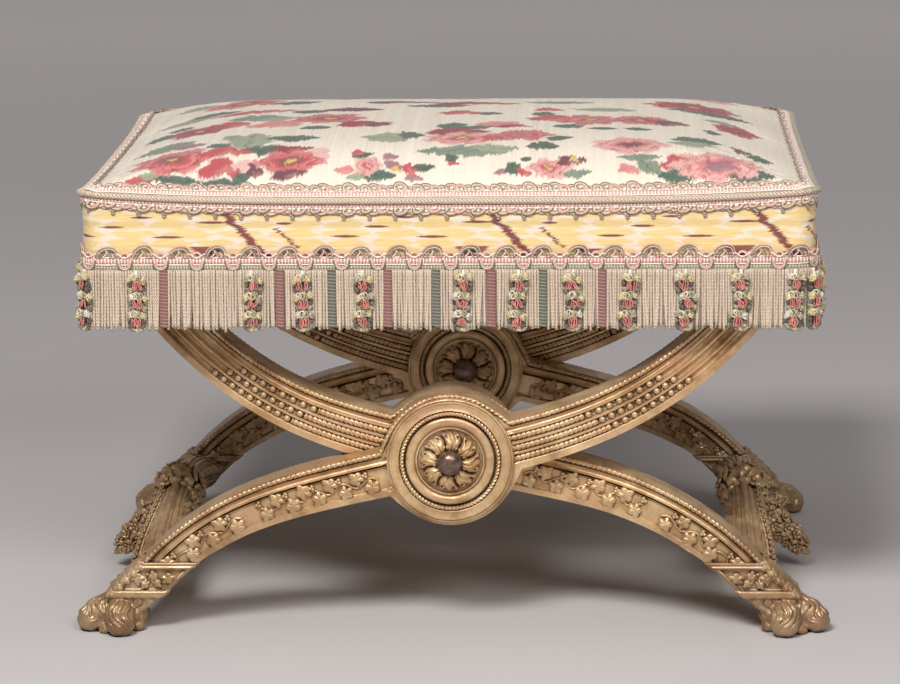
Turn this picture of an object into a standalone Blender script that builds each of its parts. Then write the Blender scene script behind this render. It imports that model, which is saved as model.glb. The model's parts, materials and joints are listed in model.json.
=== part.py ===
"""Giltwood stool: two crossed frames on paw feet, side stretchers and an upholstered seat.

Metres, +Z up. The origin is on the floor under the middle of the seat. +X runs to the right
across the front, and the front faces -Y. Each crossed frame has an outer bar, which rises from
left to right, and an inner bar, which rises from right to left and is housed over the outer one.
"""

import math

import bmesh
import bpy
from mathutils import Matrix, Vector

# Seat
SEAT_WIDTH = 0.647  # over the cover at the corners of the edge cord
SEAT_DEPTH = 0.490
SEAT_CORNER = 0.020  # plan radius of the corners
EDGE_HEIGHT = 0.408  # edge cord above the floor, at the corners
EDGE_DIP = 0.008  # how far the edge cord dips midway between corners
CROWN_RISE = 0.030  # top of the seat above the corners
CROWN_POWER = 3.4  # how quickly the dip of the edge dies out toward the middle
RAIL_BOTTOM = 0.337  # underside of the seat rails, and of the upholstered side
COVER_THICKNESS = 0.0025
COVER_SKIRT = 0.024  # how far the cover comes down the side below the edge
COVER_SHOULDER = 0.006  # how far below the edge the cover's side starts to draw in
SIDE_SWELL = 0.002  # how far the side band bulges between its edges
BAND_THICKNESS = 0.002
EDGE_CORD_DIAMETER = 0.006
EDGE_CORD_DROP = 0.001  # middle of the cord below the edge it follows
EDGE_GIMP_WIDTH = 0.014
GIMP_THICKNESS = 0.0015
HEADING_HEIGHT = 0.021
HEADING_THICKNESS = 0.004

# Fringe
FRINGE_DROP = 0.047
FRINGE_THICKNESS = 0.003
FRINGE_FLARE = 0.004  # how far the foot of the fringe stands out from its head
TASSEL_DROP = 0.006  # how far a tassel hangs below the fringe
TASSEL_WIDTH = 0.018
TASSEL_SWELL = 0.007
TASSEL_PITCH = 0.050

# Seat frame and its layers
RAIL_HEIGHT = 0.045
RAIL_WIDTH = 0.038
RAIL_TENON_LENGTH = 0.018
RAIL_TENON_HEIGHT = 0.016
RAIL_TENON_THICKNESS = 0.012
RAIL_TENON_DROP = 0.0045  # top of the tenon below the top of its rail
WEB_HOLD = 0.030  # how much of a web lies on each rail
CORNER_BLOCK = 0.055
WEB_WIDTH = 0.050
WEB_THICKNESS = 0.0015
LONG_WEBS = 3
CROSS_WEBS = 5
HESSIAN_THICKNESS = 0.001
DUST_CLOTH_THICKNESS = 0.001

# Crossed frames
FRAME_INSET = 0.019  # outer face of each crossed frame behind the seat's edge
BAR_THICKNESS = 0.036
HOUSING_DEPTH = 0.012  # how deep the outer bar sits in the inner one
HUB_HEIGHT = 0.1606
HUB_RADIUS = 0.060
HUB_BLEND = 0.022  # how softly the hub runs out into the bars
CROSS_SLOPE = 0.2235  # rise over run of the bars where they cross
ARM_CURVE = 3.2
LEG_CURVE = 5.0
ARM_WIDTH_HUB = 0.047
ARM_WIDTH_TOP = 0.038
LEG_WIDTH_HUB = 0.043
LEG_WIDTH_FOOT = 0.036
PAW_REACH = 0.067  # toes beyond the centre line of a leg, taken at the height below
LEG_REACH_HEIGHT = 0.041
COLLAR_HEIGHT = 0.0655  # where a leg meets its foot block
TOP_SET_BACK = 0.048  # inner bar behind the outer one, at the seat
BEAD_DEPTH = 0.0015
CHANNEL_DEPTH = 0.0035
PANEL_DEPTH = 0.004
TENON_THICKNESS = 0.010
TENON_WIDTH = 0.020
TENON_LENGTH = 0.022
ARM_END_SPREAD = 0.64  # half of an arm's slanting end, as a share of the arm's width
PEG_DIAMETER = 0.007
PEG_STOP = 0.006  # wood left between a peg and the outer face of its rail

# Feet
FOOT_SPAN = 0.686  # over the toes, left to right
BLOCK_FOOT_HEIGHT = 0.033  # bottom of the foot block
COLLAR_LIP = 0.002
BLOCK_BAND = 0.005
BLOCK_CHAMFER = 0.0018
PAW_LENGTH = 0.056  # the rounded pad that the toes grow from
PAW_WIDTH = 0.048
PAW_HEIGHT = 0.038
TOE_LENGTH = 0.0325
TOE_WIDTH = 0.024
TOE_HEIGHT = 0.030
TOE_REACH = 0.0237  # middle of a toe from the middle of the pad
TOE_ANGLES = (176, 211, 246, 281)  # degrees round the pad, outward is 180 and the front 270
SOLE_CUT = 0.0025  # how much of the rounded paw the flat sole takes off

# Medallions and their bolts
MEDALLION_RADIUS = 0.057
MEDALLION_HEIGHT = 0.008
MEDALLION_FLOOR = 0.0016  # wood left under the rosette
MEDALLION_WELL = 0.0285  # radius of the well that holds the rosette
ROSETTE_HEIGHT = 0.008
PETALS = 10
BOSS_RADIUS = 0.011
BOSS_HEIGHT = 0.011
BOLT_DIAMETER = 0.010
BOLT_GRIP = 0.0044  # how far the bolt's end reaches into its nut

# Side stretchers
STRETCHER_HEIGHT = 0.050  # its middle where it meets the feet
STRETCHER_RISE = 0.028  # how far its middle arches above that
LEAF_FOOT_WIDTH = 0.042  # across a leaf where it springs from its foot
LEAF_FOOT_HEIGHT = 0.030
LEAF_NECK_WIDTH = 0.028  # across it where it meets the bunch
LEAF_NECK_HEIGHT = 0.026
LEAF_SIDES = 12
LEAF_FLUTE = 0.08  # depth of the flutes, as a share of the leaf's half width
LEAF_NECK_END = 0.2  # where a leaf starts to widen, as a share of its reach
LEAF_BLEND = 0.004  # how softly a leaf runs out into the bunch
LEAF_RISE_CURVE = 1.6
LEAF_PLACES = (0.0, 0.05, 0.10, 0.135, 0.20, 0.38, 0.58, 0.8, 1.0)  # of its sections, as shares of its reach
BUNCH_WIDTH = 0.038
BUNCH_HEIGHT = 0.044
BUNCH_LENGTH = 0.056
STRETCHER_TENON = 0.010
STRETCHER_TENON_DIAMETER = 0.012
DROP_TIP_HEIGHT = 0.010
DROP_ANGLE = 45  # degrees that the flowery drop leans outward from level
DROP_SEAT = 0.015  # its flat seat on the bunch, out from the bunch's middle
DROP_WIDTH = 0.026
DROP_THICKNESS = 0.0195
DROP_PEG_DIAMETER = 0.008
DROP_PEG_LENGTH = 0.010

CLEARANCE = 0.0003  # between pieces that touch

GILT = ((0.62, 0.43, 0.20), 0.38, 0.75)
DARK_METAL = ((0.16, 0.14, 0.13), 0.35, 0.9)
BEECH = ((0.55, 0.38, 0.22), 0.65, 0.0)
WEBBING = ((0.45, 0.36, 0.24), 0.9, 0.0)
HORSEHAIR = ((0.09, 0.07, 0.06), 0.95, 0.0)
SILK_TOP = ((0.86, 0.78, 0.66), 0.55, 0.0)
SILK_SIDE = ((0.80, 0.66, 0.34), 0.55, 0.0)
GIMP = ((0.72, 0.60, 0.52), 0.8, 0.0)
FRINGE = ((0.78, 0.66, 0.58), 0.8, 0.0)
LINEN = ((0.60, 0.54, 0.44), 0.9, 0.0)

FRAME_DEPTH = SEAT_DEPTH - 2 * FRAME_INSET
LEG_REACH = FOOT_SPAN / 2 - PAW_REACH
FRONT_FACE = -FRAME_DEPTH / 2
CROSS_SET_BACK = BAR_THICKNESS - HOUSING_DEPTH
HALF_X = SEAT_WIDTH / 2
HALF_Y = SEAT_DEPTH / 2
RAIL_INSET = BAND_THICKNESS + SIDE_SWELL + CLEARANCE * 2
RAIL_X = HALF_X - RAIL_INSET
RAIL_Y = HALF_Y - RAIL_INSET
RAIL_TOP = RAIL_BOTTOM + RAIL_HEIGHT
ARM_REACH = RAIL_X - ARM_WIDTH_TOP * ARM_END_SPREAD
ARM_END_HEIGHT = RAIL_BOTTOM - CLEARANCE
ARM_CURL = ARM_END_HEIGHT - HUB_HEIGHT - CROSS_SLOPE * ARM_REACH
LEG_CURL = HUB_HEIGHT - LEG_REACH_HEIGHT - CROSS_SLOPE * LEG_REACH


def clear_scene():
    for old in list(bpy.data.objects):
        bpy.data.objects.remove(old, do_unlink=True)


def finish(name, look):
    colour, roughness, metallic = look
    material = bpy.data.materials.new(name + "_finish")
    material.use_nodes = True
    shader = material.node_tree.nodes["Principled BSDF"]
    shader.inputs["Base Color"].default_value = (*colour, 1.0)
    shader.inputs["Roughness"].default_value = roughness
    shader.inputs["Metallic"].default_value = metallic
    material.diffuse_color = (*colour, 1.0)
    return material


def add_object(name, points, faces, look=None, smooth_below=None):
    mesh = bpy.data.meshes.new(name)
    mesh.from_pydata([tuple(p) for p in points], [], faces)
    shape = bmesh.new()
    shape.from_mesh(mesh)
    bmesh.ops.recalc_face_normals(shape, faces=shape.faces[:])
    shape.to_mesh(mesh)
    shape.free()
    piece = bpy.data.objects.new(name, mesh)
    bpy.context.scene.collection.objects.link(piece)
    if smooth_below is not None:
        smooth(piece, smooth_below)
    if look is not None:
        mesh.materials.append(finish(name, look))
    return piece


def smooth(piece, degrees):
    piece.data.shade_smooth()
    piece.data.set_sharp_from_angle(angle=math.radians(degrees))


def dress(piece, look, smooth_below=None):
    """Gives a shape that has been joined or cut its own material and shading."""
    piece.data.materials.clear()
    piece.data.materials.append(finish(piece.name, look))
    if smooth_below is not None:
        smooth(piece, smooth_below)


def loft(rings, closed=False):
    """Points and faces of a skin through rings of as many points each, capped unless it closes."""
    count = len(rings[0])
    points = [p for ring in rings for p in ring]
    faces = []
    spans = len(rings) if closed else len(rings) - 1
    for i in range(spans):
        a = i * count
        b = (i + 1) % len(rings) * count
        for j in range(count):
            k = (j + 1) % count
            faces.append((a + j, a + k, b + k, b + j))
    if not closed:
        faces.append(tuple(range(count)))
        faces.append(tuple(range(len(points) - count, len(points))))
    return points, faces


def turned(profile, steps, axis_point, outward):
    """A skin turned about a line along Y. A profile point is (radius, distance outward)."""
    rings = []
    for step in range(steps):
        angle = math.tau * step / steps
        rings.append([
            Vector((
                axis_point.x + radius * math.cos(angle),
                axis_point.y + outward * height,
                axis_point.z + radius * math.sin(angle),
            ))
            for radius, height in profile
        ])
    return loft(rings, closed=True)


def turned_solid(profile, steps, axis_point, outward):
    """As turned, for a solid whose profile starts and ends on the axis at radius 0."""
    body = profile[1:-1]
    rings = []
    for radius, height in body:
        rings.append([
            Vector((
                axis_point.x + radius * math.cos(math.tau * step / steps),
                axis_point.y + outward * height,
                axis_point.z + radius * math.sin(math.tau * step / steps),
            ))
            for step in range(steps)
        ])
    return loft(rings)


def box(name, low, high, look=None):
    corners = [(x, y, z) for z in (low[2], high[2]) for y in (low[1], high[1]) for x in (low[0], high[0])]
    faces = [(0, 1, 3, 2), (4, 6, 7, 5), (0, 4, 5, 1), (2, 3, 7, 6), (0, 2, 6, 4), (1, 5, 7, 3)]
    return add_object(name, corners, faces, look)


def ellipsoid(centre, radii, across=12, up=7, turn=0.0):
    """A temporary rounded lump, for joining to another piece."""
    shape = bmesh.new()
    bmesh.ops.create_uvsphere(shape, u_segments=across, v_segments=up, radius=1.0)
    place = Matrix.Translation(centre) @ Matrix.Rotation(turn, 4, "Z") @ Matrix.Diagonal((*radii, 1.0))
    bmesh.ops.transform(shape, matrix=place, verts=shape.verts[:])
    mesh = bpy.data.meshes.new("lump")
    shape.to_mesh(mesh)
    shape.free()
    piece = bpy.data.objects.new("lump", mesh)
    bpy.context.scene.collection.objects.link(piece)
    return piece


def rod(start, end, diameter, steps=12):
    """A temporary round bar between two points."""
    start = Vector(start)
    end = Vector(end)
    along = (end - start).normalized()
    side = along.orthogonal().normalized()
    other = along.cross(side)
    rings = []
    for centre in (start, end):
        rings.append([
            centre
            + side * diameter / 2 * math.cos(math.tau * step / steps)
            + other * diameter / 2 * math.sin(math.tau * step / steps)
            for step in range(steps)
        ])
    points, faces = loft(rings)
    return add_object("rod", points, faces)


def combine(piece, other, operation):
    """Joins or cuts a piece with another one, which is then removed."""
    modifier = piece.modifiers.new(operation.lower(), "BOOLEAN")
    modifier.operation = operation
    modifier.solver = "EXACT"
    modifier.object = other
    depsgraph = bpy.context.evaluated_depsgraph_get()
    result = bpy.data.meshes.new_from_object(piece.evaluated_get(depsgraph))
    piece.modifiers.clear()
    result.name = piece.data.name
    piece.data = result
    bpy.data.objects.remove(other, do_unlink=True)
    return piece


def cut_flat(piece, height):
    """Takes off everything below a height and leaves a flat face there."""
    combine(piece, box("below", (-1.0, -1.0, height - 1.0), (1.0, 1.0, height)), "DIFFERENCE")


def mirrored(piece, name, axes):
    """A copy reflected in the planes across the named axes, with its own finish."""
    signs = [-1.0 if axis in axes else 1.0 for axis in "XYZ"]
    mesh = piece.data.copy()
    mesh.name = name
    mesh.transform(Matrix.Diagonal((*signs, 1.0)))
    if len(axes) % 2:
        mesh.flip_normals()
    copy = bpy.data.objects.new(name, mesh)
    bpy.context.scene.collection.objects.link(copy)
    if mesh.materials:
        twin = piece.data.materials[0].copy()
        twin.name = name + "_finish"
        mesh.materials[0] = twin
    return copy


def ease(value, start, end):
    t = min(max((value - start) / (end - start), 0.0), 1.0)
    return t * t * (3 - 2 * t)


def soft_max(a, b, blend):
    share = min(max(0.5 + 0.5 * (a - b) / blend, 0.0), 1.0)
    return b + (a - b) * share + blend * share * (1 - share)


# Crossed frames

def bar_height(x):
    """Height of a bar's centre line, positive x along the arm and negative x along the leg."""
    if x >= 0:
        return HUB_HEIGHT + CROSS_SLOPE * x + ARM_CURL * (x / ARM_REACH) ** ARM_CURVE
    return HUB_HEIGHT + CROSS_SLOPE * x - LEG_CURL * (-x / LEG_REACH) ** LEG_CURVE


def bar_tangent(x):
    step = 1e-4
    rise = bar_height(x + step) - bar_height(x - step)
    return Vector((2 * step, 0, rise)).normalized()


def leg_end():
    """Distance out at which a leg's centre line reaches its foot block."""
    near, far = 0.0, LEG_REACH * 1.5
    for _ in range(40):
        middle = (near + far) / 2
        if bar_height(-middle) > COLLAR_HEIGHT:
            near = middle
        else:
            far = middle
    return near


LEG_END = leg_end()


def bar_half_width(x):
    if x >= 0:
        width = ARM_WIDTH_HUB + (ARM_WIDTH_TOP - ARM_WIDTH_HUB) * x / ARM_REACH
    else:
        width = LEG_WIDTH_HUB + (LEG_WIDTH_FOOT - LEG_WIDTH_HUB) * -x / LEG_END
    along = abs(x) * math.hypot(1, CROSS_SLOPE)
    hub = math.sqrt(max(HUB_RADIUS ** 2 - along ** 2, 0.0))
    return soft_max(width / 2, hub, HUB_BLEND)


def inner_set_back(x):
    """How far the inner bar's outer face lies behind the outer bar's, along its own centre line."""
    if x >= 0:
        return CROSS_SET_BACK + (TOP_SET_BACK - CROSS_SET_BACK) * ease(x, HUB_RADIUS * 2, ARM_REACH)
    return CROSS_SET_BACK * (1 - ease(-x, HUB_RADIUS * 2, LEG_END))


def no_set_back(x):
    return 0.0


# Across a carved face from the upper edge to the lower: place as a share of the half width, and depth
ARM_FACE = (
    (1.00, BEAD_DEPTH), (0.90, 0.0), (0.80, BEAD_DEPTH), (0.64, CHANNEL_DEPTH * 0.7), (0.50, 0.0),
    (0.30, CHANNEL_DEPTH), (0.10, 0.0), (-0.10, CHANNEL_DEPTH), (-0.30, 0.0), (-0.50, CHANNEL_DEPTH),
    (-0.70, 0.0), (-1.00, BEAD_DEPTH),
)
LEG_FACE = (
    (1.00, BEAD_DEPTH), (0.90, 0.0), (0.80, BEAD_DEPTH), (0.62, PANEL_DEPTH), (0.44, PANEL_DEPTH),
    (0.32, BEAD_DEPTH), (0.24, PANEL_DEPTH), (0.00, PANEL_DEPTH), (-0.30, PANEL_DEPTH),
    (-0.62, PANEL_DEPTH), (-0.72, 0.0), (-1.00, BEAD_DEPTH),
)


def face_profile(x):
    """The carved face at one place, flat where the medallion lies on it."""
    carved = ease(abs(x), HUB_RADIUS * 0.8, HUB_RADIUS * 1.1)
    shape = ARM_FACE if x >= 0 else LEG_FACE
    return [(place, depth * carved) for place, depth in shape]


def bar_stations():
    legs = [-LEG_END * (1 - 0.134 * i) for i in range(6)]
    hub = [HUB_RADIUS * math.sin(math.radians(a)) for a in (-90, -60, -37, -14, 14, 37, 60, 90)]
    arms = [ARM_REACH * (0.285 + 0.143 * i) for i in range(5)]
    return legs + hub + arms + [ARM_REACH]


def bar_ring(x, mirror, set_back, half, profile_front, profile_back):
    """One cross-section of a bar, as points round its front face and then its back face."""
    centre = Vector((x, 0, bar_height(x)))
    along = bar_tangent(x)
    across = Vector((-along.z, 0, along.x))
    front = FRONT_FACE + set_back(x)
    ring = []
    for place, depth in profile_front:
        point = centre + across * half * place
        ring.append(Vector((point.x, front + depth, point.z)))
    for place, depth in reversed(profile_back):
        point = centre + across * half * place
        ring.append(Vector((point.x, front + BAR_THICKNESS - depth, point.z)))
    end_height = {-LEG_END: COLLAR_HEIGHT + CLEARANCE, ARM_REACH: ARM_END_HEIGHT}.get(x)
    if end_height is not None:
        ring = [p + along * ((end_height - p.z) / along.z) for p in ring]
    if mirror:
        ring = [Vector((-p.x, p.y, p.z)) for p in ring]
    return ring


def tenon(x, mirror, set_back, gap=0.0):
    """The tenon on a bar's end, whose root lies inside the bar. The gap makes it a mortise."""
    side = -1 if mirror else 1
    middle = FRONT_FACE + set_back(x) + BAR_THICKNESS / 2
    half_x = TENON_WIDTH / 2 + gap
    half_y = TENON_THICKNESS / 2 + gap
    if x > 0:
        levels = (RAIL_BOTTOM - TENON_THICKNESS / 2, RAIL_BOTTOM + TENON_LENGTH + gap)
        centres = (x, x)
    else:
        levels = (COLLAR_HEIGHT + TENON_THICKNESS / 2, COLLAR_HEIGHT - TENON_LENGTH - gap)
        centres = [-block_centre(level) for level in levels]
    rings = []
    for centre, level in zip(centres, levels):
        plan = ((-half_x, -half_y), (half_x, -half_y), (half_x, half_y), (-half_x, half_y))
        rings.append([Vector((side * (centre + dx), middle + dy, level)) for dx, dy in plan])
    points, faces = loft(rings)
    return add_object("tenon", points, faces)


def block_centre(height):
    """How far out a foot block's centre lies at a height: it goes on in the line of the leg."""
    along = bar_tangent(-LEG_END)
    return LEG_END + (COLLAR_HEIGHT - height) * along.x / along.z


def make_bar(name, mirror, set_back):
    rings = [
        bar_ring(x, mirror, set_back, bar_half_width(x), face_profile(x), face_profile(x))
        for x in bar_stations()
    ]
    points, faces = loft(rings)
    bar = add_object(name, points, faces)
    combine(bar, tenon(ARM_REACH, mirror, set_back), "UNION")
    combine(bar, tenon(-LEG_END, mirror, set_back), "UNION")
    return bar


def housing_cutter():
    """The outline of the outer bar near the crossing, as the recess that the inner bar has for it."""
    rings = []
    reach = HUB_RADIUS * 3
    flat_front = -HUB_RADIUS
    for x in bar_stations():
        if abs(x) > reach:
            continue
        half = bar_half_width(x) + CLEARANCE
        plain = ((1.0, flat_front), (-1.0, flat_front))
        back = ((1.0, -CLEARANCE), (-1.0, -CLEARANCE))
        rings.append(bar_ring(x, False, no_set_back, half, plain, back))
    points, faces = loft(rings)
    return add_object("housing", points, faces)


def bolt_bore():
    reach = FRAME_DEPTH / 2
    centre = Vector((0, FRONT_FACE, HUB_HEIGHT))
    along = Vector((0, reach, 0))
    return rod(centre - along, centre + along, BOLT_DIAMETER + 2 * CLEARANCE)


def peg_ends(mirror, set_back):
    """Both ends of the peg that locks an arm's tenon in its rail, from the rail's inner side."""
    side = -1 if mirror else 1
    middle = FRONT_FACE + set_back(ARM_REACH) + BAR_THICKNESS / 2
    height = RAIL_BOTTOM + TENON_LENGTH / 2
    inner = side * (RAIL_X - RAIL_WIDTH)
    outer = side * (RAIL_X - PEG_STOP)
    return (inner, middle, height), (outer, middle, height)


def peg_bore(mirror, set_back):
    start, end = peg_ends(mirror, set_back)
    side = -1 if mirror else 1
    start = (start[0] - side * RAIL_WIDTH / 2, start[1], start[2])
    end = (end[0] + side * CLEARANCE, end[1], end[2])
    return rod(start, end, PEG_DIAMETER + 2 * CLEARANCE, 10)


def make_frames():
    outer = make_bar("front_outer_bar", False, no_set_back)
    inner = make_bar("front_inner_bar", True, inner_set_back)
    combine(inner, housing_cutter(), "DIFFERENCE")
    for bar, mirror, set_back in ((outer, False, no_set_back), (inner, True, inner_set_back)):
        combine(bar, bolt_bore(), "DIFFERENCE")
        combine(bar, peg_bore(mirror, set_back), "DIFFERENCE")
        dress(bar, GILT, 35)
        mirrored(bar, bar.name.replace("front", "back"), "Y")
        start, end = peg_ends(mirror, set_back)
        peg = rod(start, end, PEG_DIAMETER, 10)
        peg.name = "front_left_peg" if mirror else "front_right_peg"
        peg.data.name = peg.name
        dress(peg, BEECH, 40)
        mirrored(peg, peg.name.replace("front", "back"), "Y")


# Feet

def block_ring(height, half_x, half_y, middle_y):
    centre = -block_centre(height)
    near_x = half_x - BLOCK_CHAMFER
    near_y = half_y - BLOCK_CHAMFER
    outline = (
        (near_x, half_y), (half_x, near_y), (half_x, -near_y), (near_x, -half_y),
        (-near_x, -half_y), (-half_x, -near_y), (-half_x, near_y), (-near_x, half_y),
    )
    return [Vector((centre + x, middle_y + y, height)) for x, y in outline]


def make_foot():
    """The front left foot: a framed block with the paw below it."""
    middle_y = FRONT_FACE + BAR_THICKNESS / 2
    along = bar_tangent(-LEG_END)
    half_x = LEG_WIDTH_FOOT / 2 / along.z
    half_y = BAR_THICKNESS / 2
    top = COLLAR_HEIGHT
    rings = [
        block_ring(top, half_x + COLLAR_LIP, half_y + COLLAR_LIP, middle_y),
        block_ring(top - BLOCK_BAND, half_x + COLLAR_LIP, half_y + COLLAR_LIP, middle_y),
        block_ring(top - BLOCK_BAND - COLLAR_LIP, half_x, half_y, middle_y),
        block_ring(BLOCK_FOOT_HEIGHT + BLOCK_BAND + COLLAR_LIP, half_x, half_y, middle_y),
        block_ring(BLOCK_FOOT_HEIGHT + BLOCK_BAND, half_x + COLLAR_LIP, half_y + COLLAR_LIP, middle_y),
        block_ring(BLOCK_FOOT_HEIGHT, half_x + COLLAR_LIP, half_y + COLLAR_LIP, middle_y),
        block_ring(BLOCK_FOOT_HEIGHT - COLLAR_LIP, half_x - COLLAR_LIP, half_y, middle_y),
        block_ring(PAW_HEIGHT / 3, half_x - 2 * COLLAR_LIP, half_y - COLLAR_LIP, middle_y),
    ]
    points, faces = loft(rings)
    foot = add_object("front_left_foot", points, faces)
    pad = Vector((TOE_REACH + TOE_LENGTH / 2 - FOOT_SPAN / 2, middle_y, PAW_HEIGHT / 2 - SOLE_CUT))
    combine(foot, ellipsoid(pad, (PAW_LENGTH / 2, PAW_WIDTH / 2, PAW_HEIGHT / 2), 14, 7), "UNION")
    for angle in TOE_ANGLES:
        turn = math.radians(angle)
        out = Vector((math.cos(turn), math.sin(turn), 0))
        centre = Vector((pad.x, pad.y, TOE_HEIGHT / 2 - SOLE_CUT)) + out * TOE_REACH
        toe = ellipsoid(centre, (TOE_LENGTH / 2, TOE_WIDTH / 2, TOE_HEIGHT / 2), 10, 6, turn)
        combine(foot, toe, "UNION")
    cut_flat(foot, 0.0)
    combine(foot, tenon(-LEG_END, False, no_set_back, CLEARANCE), "DIFFERENCE")
    combine(foot, stretcher_bore(), "DIFFERENCE")
    dress(foot, GILT, 40)
    mirrored(foot, "front_right_foot", "X")
    mirrored(foot, "back_left_foot", "Y")
    mirrored(foot, "back_right_foot", "XY")


# Side stretchers

def foot_inner_face():
    return abs(FRONT_FACE) - BAR_THICKNESS - COLLAR_LIP


def stretcher_end(side, reach):
    """A point on the middle of the left stretcher's end, a distance past the face of its foot."""
    return Vector((-block_centre(STRETCHER_HEIGHT), side * (foot_inner_face() + reach), STRETCHER_HEIGHT))


def stretcher_bore():
    diameter = STRETCHER_TENON_DIAMETER + 2 * CLEARANCE
    return rod(stretcher_end(-1, STRETCHER_TENON + CLEARANCE), stretcher_end(-1, -BAR_THICKNESS), diameter)


def bunch_middle():
    return Vector((-block_centre(STRETCHER_HEIGHT), 0, STRETCHER_HEIGHT + STRETCHER_RISE))


def drop_direction():
    lean = math.radians(DROP_ANGLE)
    return Vector((-math.cos(lean), 0, -math.sin(lean)))


def leaf_ring(share, inner):
    """A section of the stretcher at a share of the way from its middle to a foot."""
    distance = abs(share)
    widening = ease(distance, LEAF_NECK_END, 1.0)
    leaf_width = LEAF_NECK_WIDTH + (LEAF_FOOT_WIDTH - LEAF_NECK_WIDTH) * widening
    leaf_height = LEAF_NECK_HEIGHT + (LEAF_FOOT_HEIGHT - LEAF_NECK_HEIGHT) * widening
    bunch_reach = min(inner * distance / (BUNCH_LENGTH / 2), 1.0)
    bunch = math.sqrt(1 - bunch_reach ** 2)
    half_x = soft_max(leaf_width / 2, BUNCH_WIDTH / 2 * bunch, LEAF_BLEND)
    half_z = soft_max(leaf_height / 2, BUNCH_HEIGHT / 2 * bunch, LEAF_BLEND)
    centre = Vector((-block_centre(STRETCHER_HEIGHT), inner * share, 0))
    centre.z = STRETCHER_HEIGHT + STRETCHER_RISE * (1 - distance ** LEAF_RISE_CURVE)
    ring = []
    for k in range(LEAF_SIDES):
        angle = math.tau * k / LEAF_SIDES
        flute = 1 + LEAF_FLUTE * math.cos(math.pi * k)
        ring.append(centre + Vector((half_x * flute * math.cos(angle), 0, half_z * flute * math.sin(angle))))
    return ring


def make_stretcher():
    """The left stretcher: two fluted leaves that rise from the feet to a bunch in the middle."""
    inner = foot_inner_face() - CLEARANCE
    shares = [-place for place in reversed(LEAF_PLACES[1:])] + list(LEAF_PLACES)
    points, faces = loft([leaf_ring(share, inner) for share in shares])
    stretcher = add_object("left_stretcher", points, faces)
    for side in (-1, 1):
        root = stretcher_end(side, -STRETCHER_TENON)
        tip = stretcher_end(side, STRETCHER_TENON)
        combine(stretcher, rod(root, tip, STRETCHER_TENON_DIAMETER), "UNION")
    out = drop_direction()
    seat = bunch_middle() + out * DROP_SEAT
    combine(stretcher, rod(seat, seat + out * BUNCH_LENGTH, BUNCH_LENGTH * 1.2), "DIFFERENCE")
    hole_end = seat - out * (DROP_PEG_LENGTH + CLEARANCE)
    hole = rod(hole_end, seat + out * DROP_PEG_LENGTH, DROP_PEG_DIAMETER + 2 * CLEARANCE)
    combine(stretcher, hole, "DIFFERENCE")
    dress(stretcher, GILT, 50)
    mirrored(stretcher, "right_stretcher", "X")


def make_drop():
    """The left drop of flowers, which hangs outward from the bunch and narrows to a leaf."""
    out = drop_direction()
    side = Vector((0, 1, 0))
    up = side.cross(out)
    start = bunch_middle() + out * (DROP_SEAT + CLEARANCE)
    length = (start.z - DROP_TIP_HEIGHT) / -out.z
    flatness = DROP_THICKNESS / DROP_WIDTH
    sides = 12
    count = 10
    rings = []
    for step in range(count + 1):
        share = step / count
        flowers = 1 + 0.12 * math.cos(step * math.pi)
        radius = DROP_WIDTH / 2 * (1 - 0.45 * share) * flowers * math.sqrt(1 - 0.8 * share ** 6)
        centre = start + out * length * share
        ring = []
        for k in range(sides):
            angle = math.tau * k / sides
            r = radius * (1 + 0.08 * math.cos(math.pi * k))
            ring.append(centre + side * r * math.cos(angle) + up * r * flatness * math.sin(angle))
        rings.append(ring)
    points, faces = loft(rings)
    drop = add_object("left_flower_drop", points, faces)
    root = start - out * DROP_PEG_LENGTH
    combine(drop, rod(root, start + out * DROP_PEG_LENGTH, DROP_PEG_DIAMETER), "UNION")
    dress(drop, GILT, 50)
    mirrored(drop, "right_flower_drop", "X")


# Medallions

MEDALLION_PROFILE = (
    (MEDALLION_RADIUS, 0.0), (MEDALLION_RADIUS, MEDALLION_HEIGHT * 0.6),
    (MEDALLION_RADIUS * 0.965, MEDALLION_HEIGHT * 0.85), (MEDALLION_RADIUS * 0.84, MEDALLION_HEIGHT * 0.85),
    (MEDALLION_RADIUS * 0.79, MEDALLION_HEIGHT), (MEDALLION_RADIUS * 0.735, MEDALLION_HEIGHT * 0.75),
    (MEDALLION_WELL + 0.004, MEDALLION_HEIGHT * 0.30), (MEDALLION_WELL, MEDALLION_HEIGHT * 0.5),
    (MEDALLION_WELL, MEDALLION_FLOOR),
    (BOLT_DIAMETER / 2 + CLEARANCE * 2, MEDALLION_FLOOR), (BOLT_DIAMETER / 2 + CLEARANCE * 2, 0.0),
)


def petal_height(radius, angle):
    reach = (radius - BOLT_DIAMETER / 2) / (MEDALLION_WELL - BOLT_DIAMETER / 2)
    lobe = 0.5 + 0.5 * math.cos(angle * PETALS)
    return ROSETTE_HEIGHT * (0.35 + 0.65 * lobe * math.sin(math.pi * min(reach, 1.0)) ** 0.5)


def make_rosette(name, face, outward):
    """A flower of petals with a bore for the bolt, in the well of a medallion."""
    foot = MEDALLION_FLOOR + CLEARANCE
    bore = BOLT_DIAMETER / 2 + CLEARANCE * 2
    rim = MEDALLION_WELL - CLEARANCE * 2
    radii = (bore, bore + (rim - bore) * 0.3, bore + (rim - bore) * 0.72, rim)
    steps = PETALS * 3
    rings = []
    for step in range(steps):
        angle = math.tau * step / steps
        profile = [(bore, foot)]
        for radius in radii[:-1]:
            profile.append((radius, foot + petal_height(radius, angle)))
        scallop = 1 - 0.10 * (0.5 - 0.5 * math.cos(angle * PETALS))
        profile.append((rim * scallop, foot + ROSETTE_HEIGHT * 0.3))
        profile.append((rim * scallop, foot))
        rings.append([
            Vector((r * math.cos(angle), face + outward * h, HUB_HEIGHT + r * math.sin(angle)))
            for r, h in profile
        ])
    points, faces = loft(rings, closed=True)
    return add_object(name, points, faces, GILT, 40)


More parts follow.
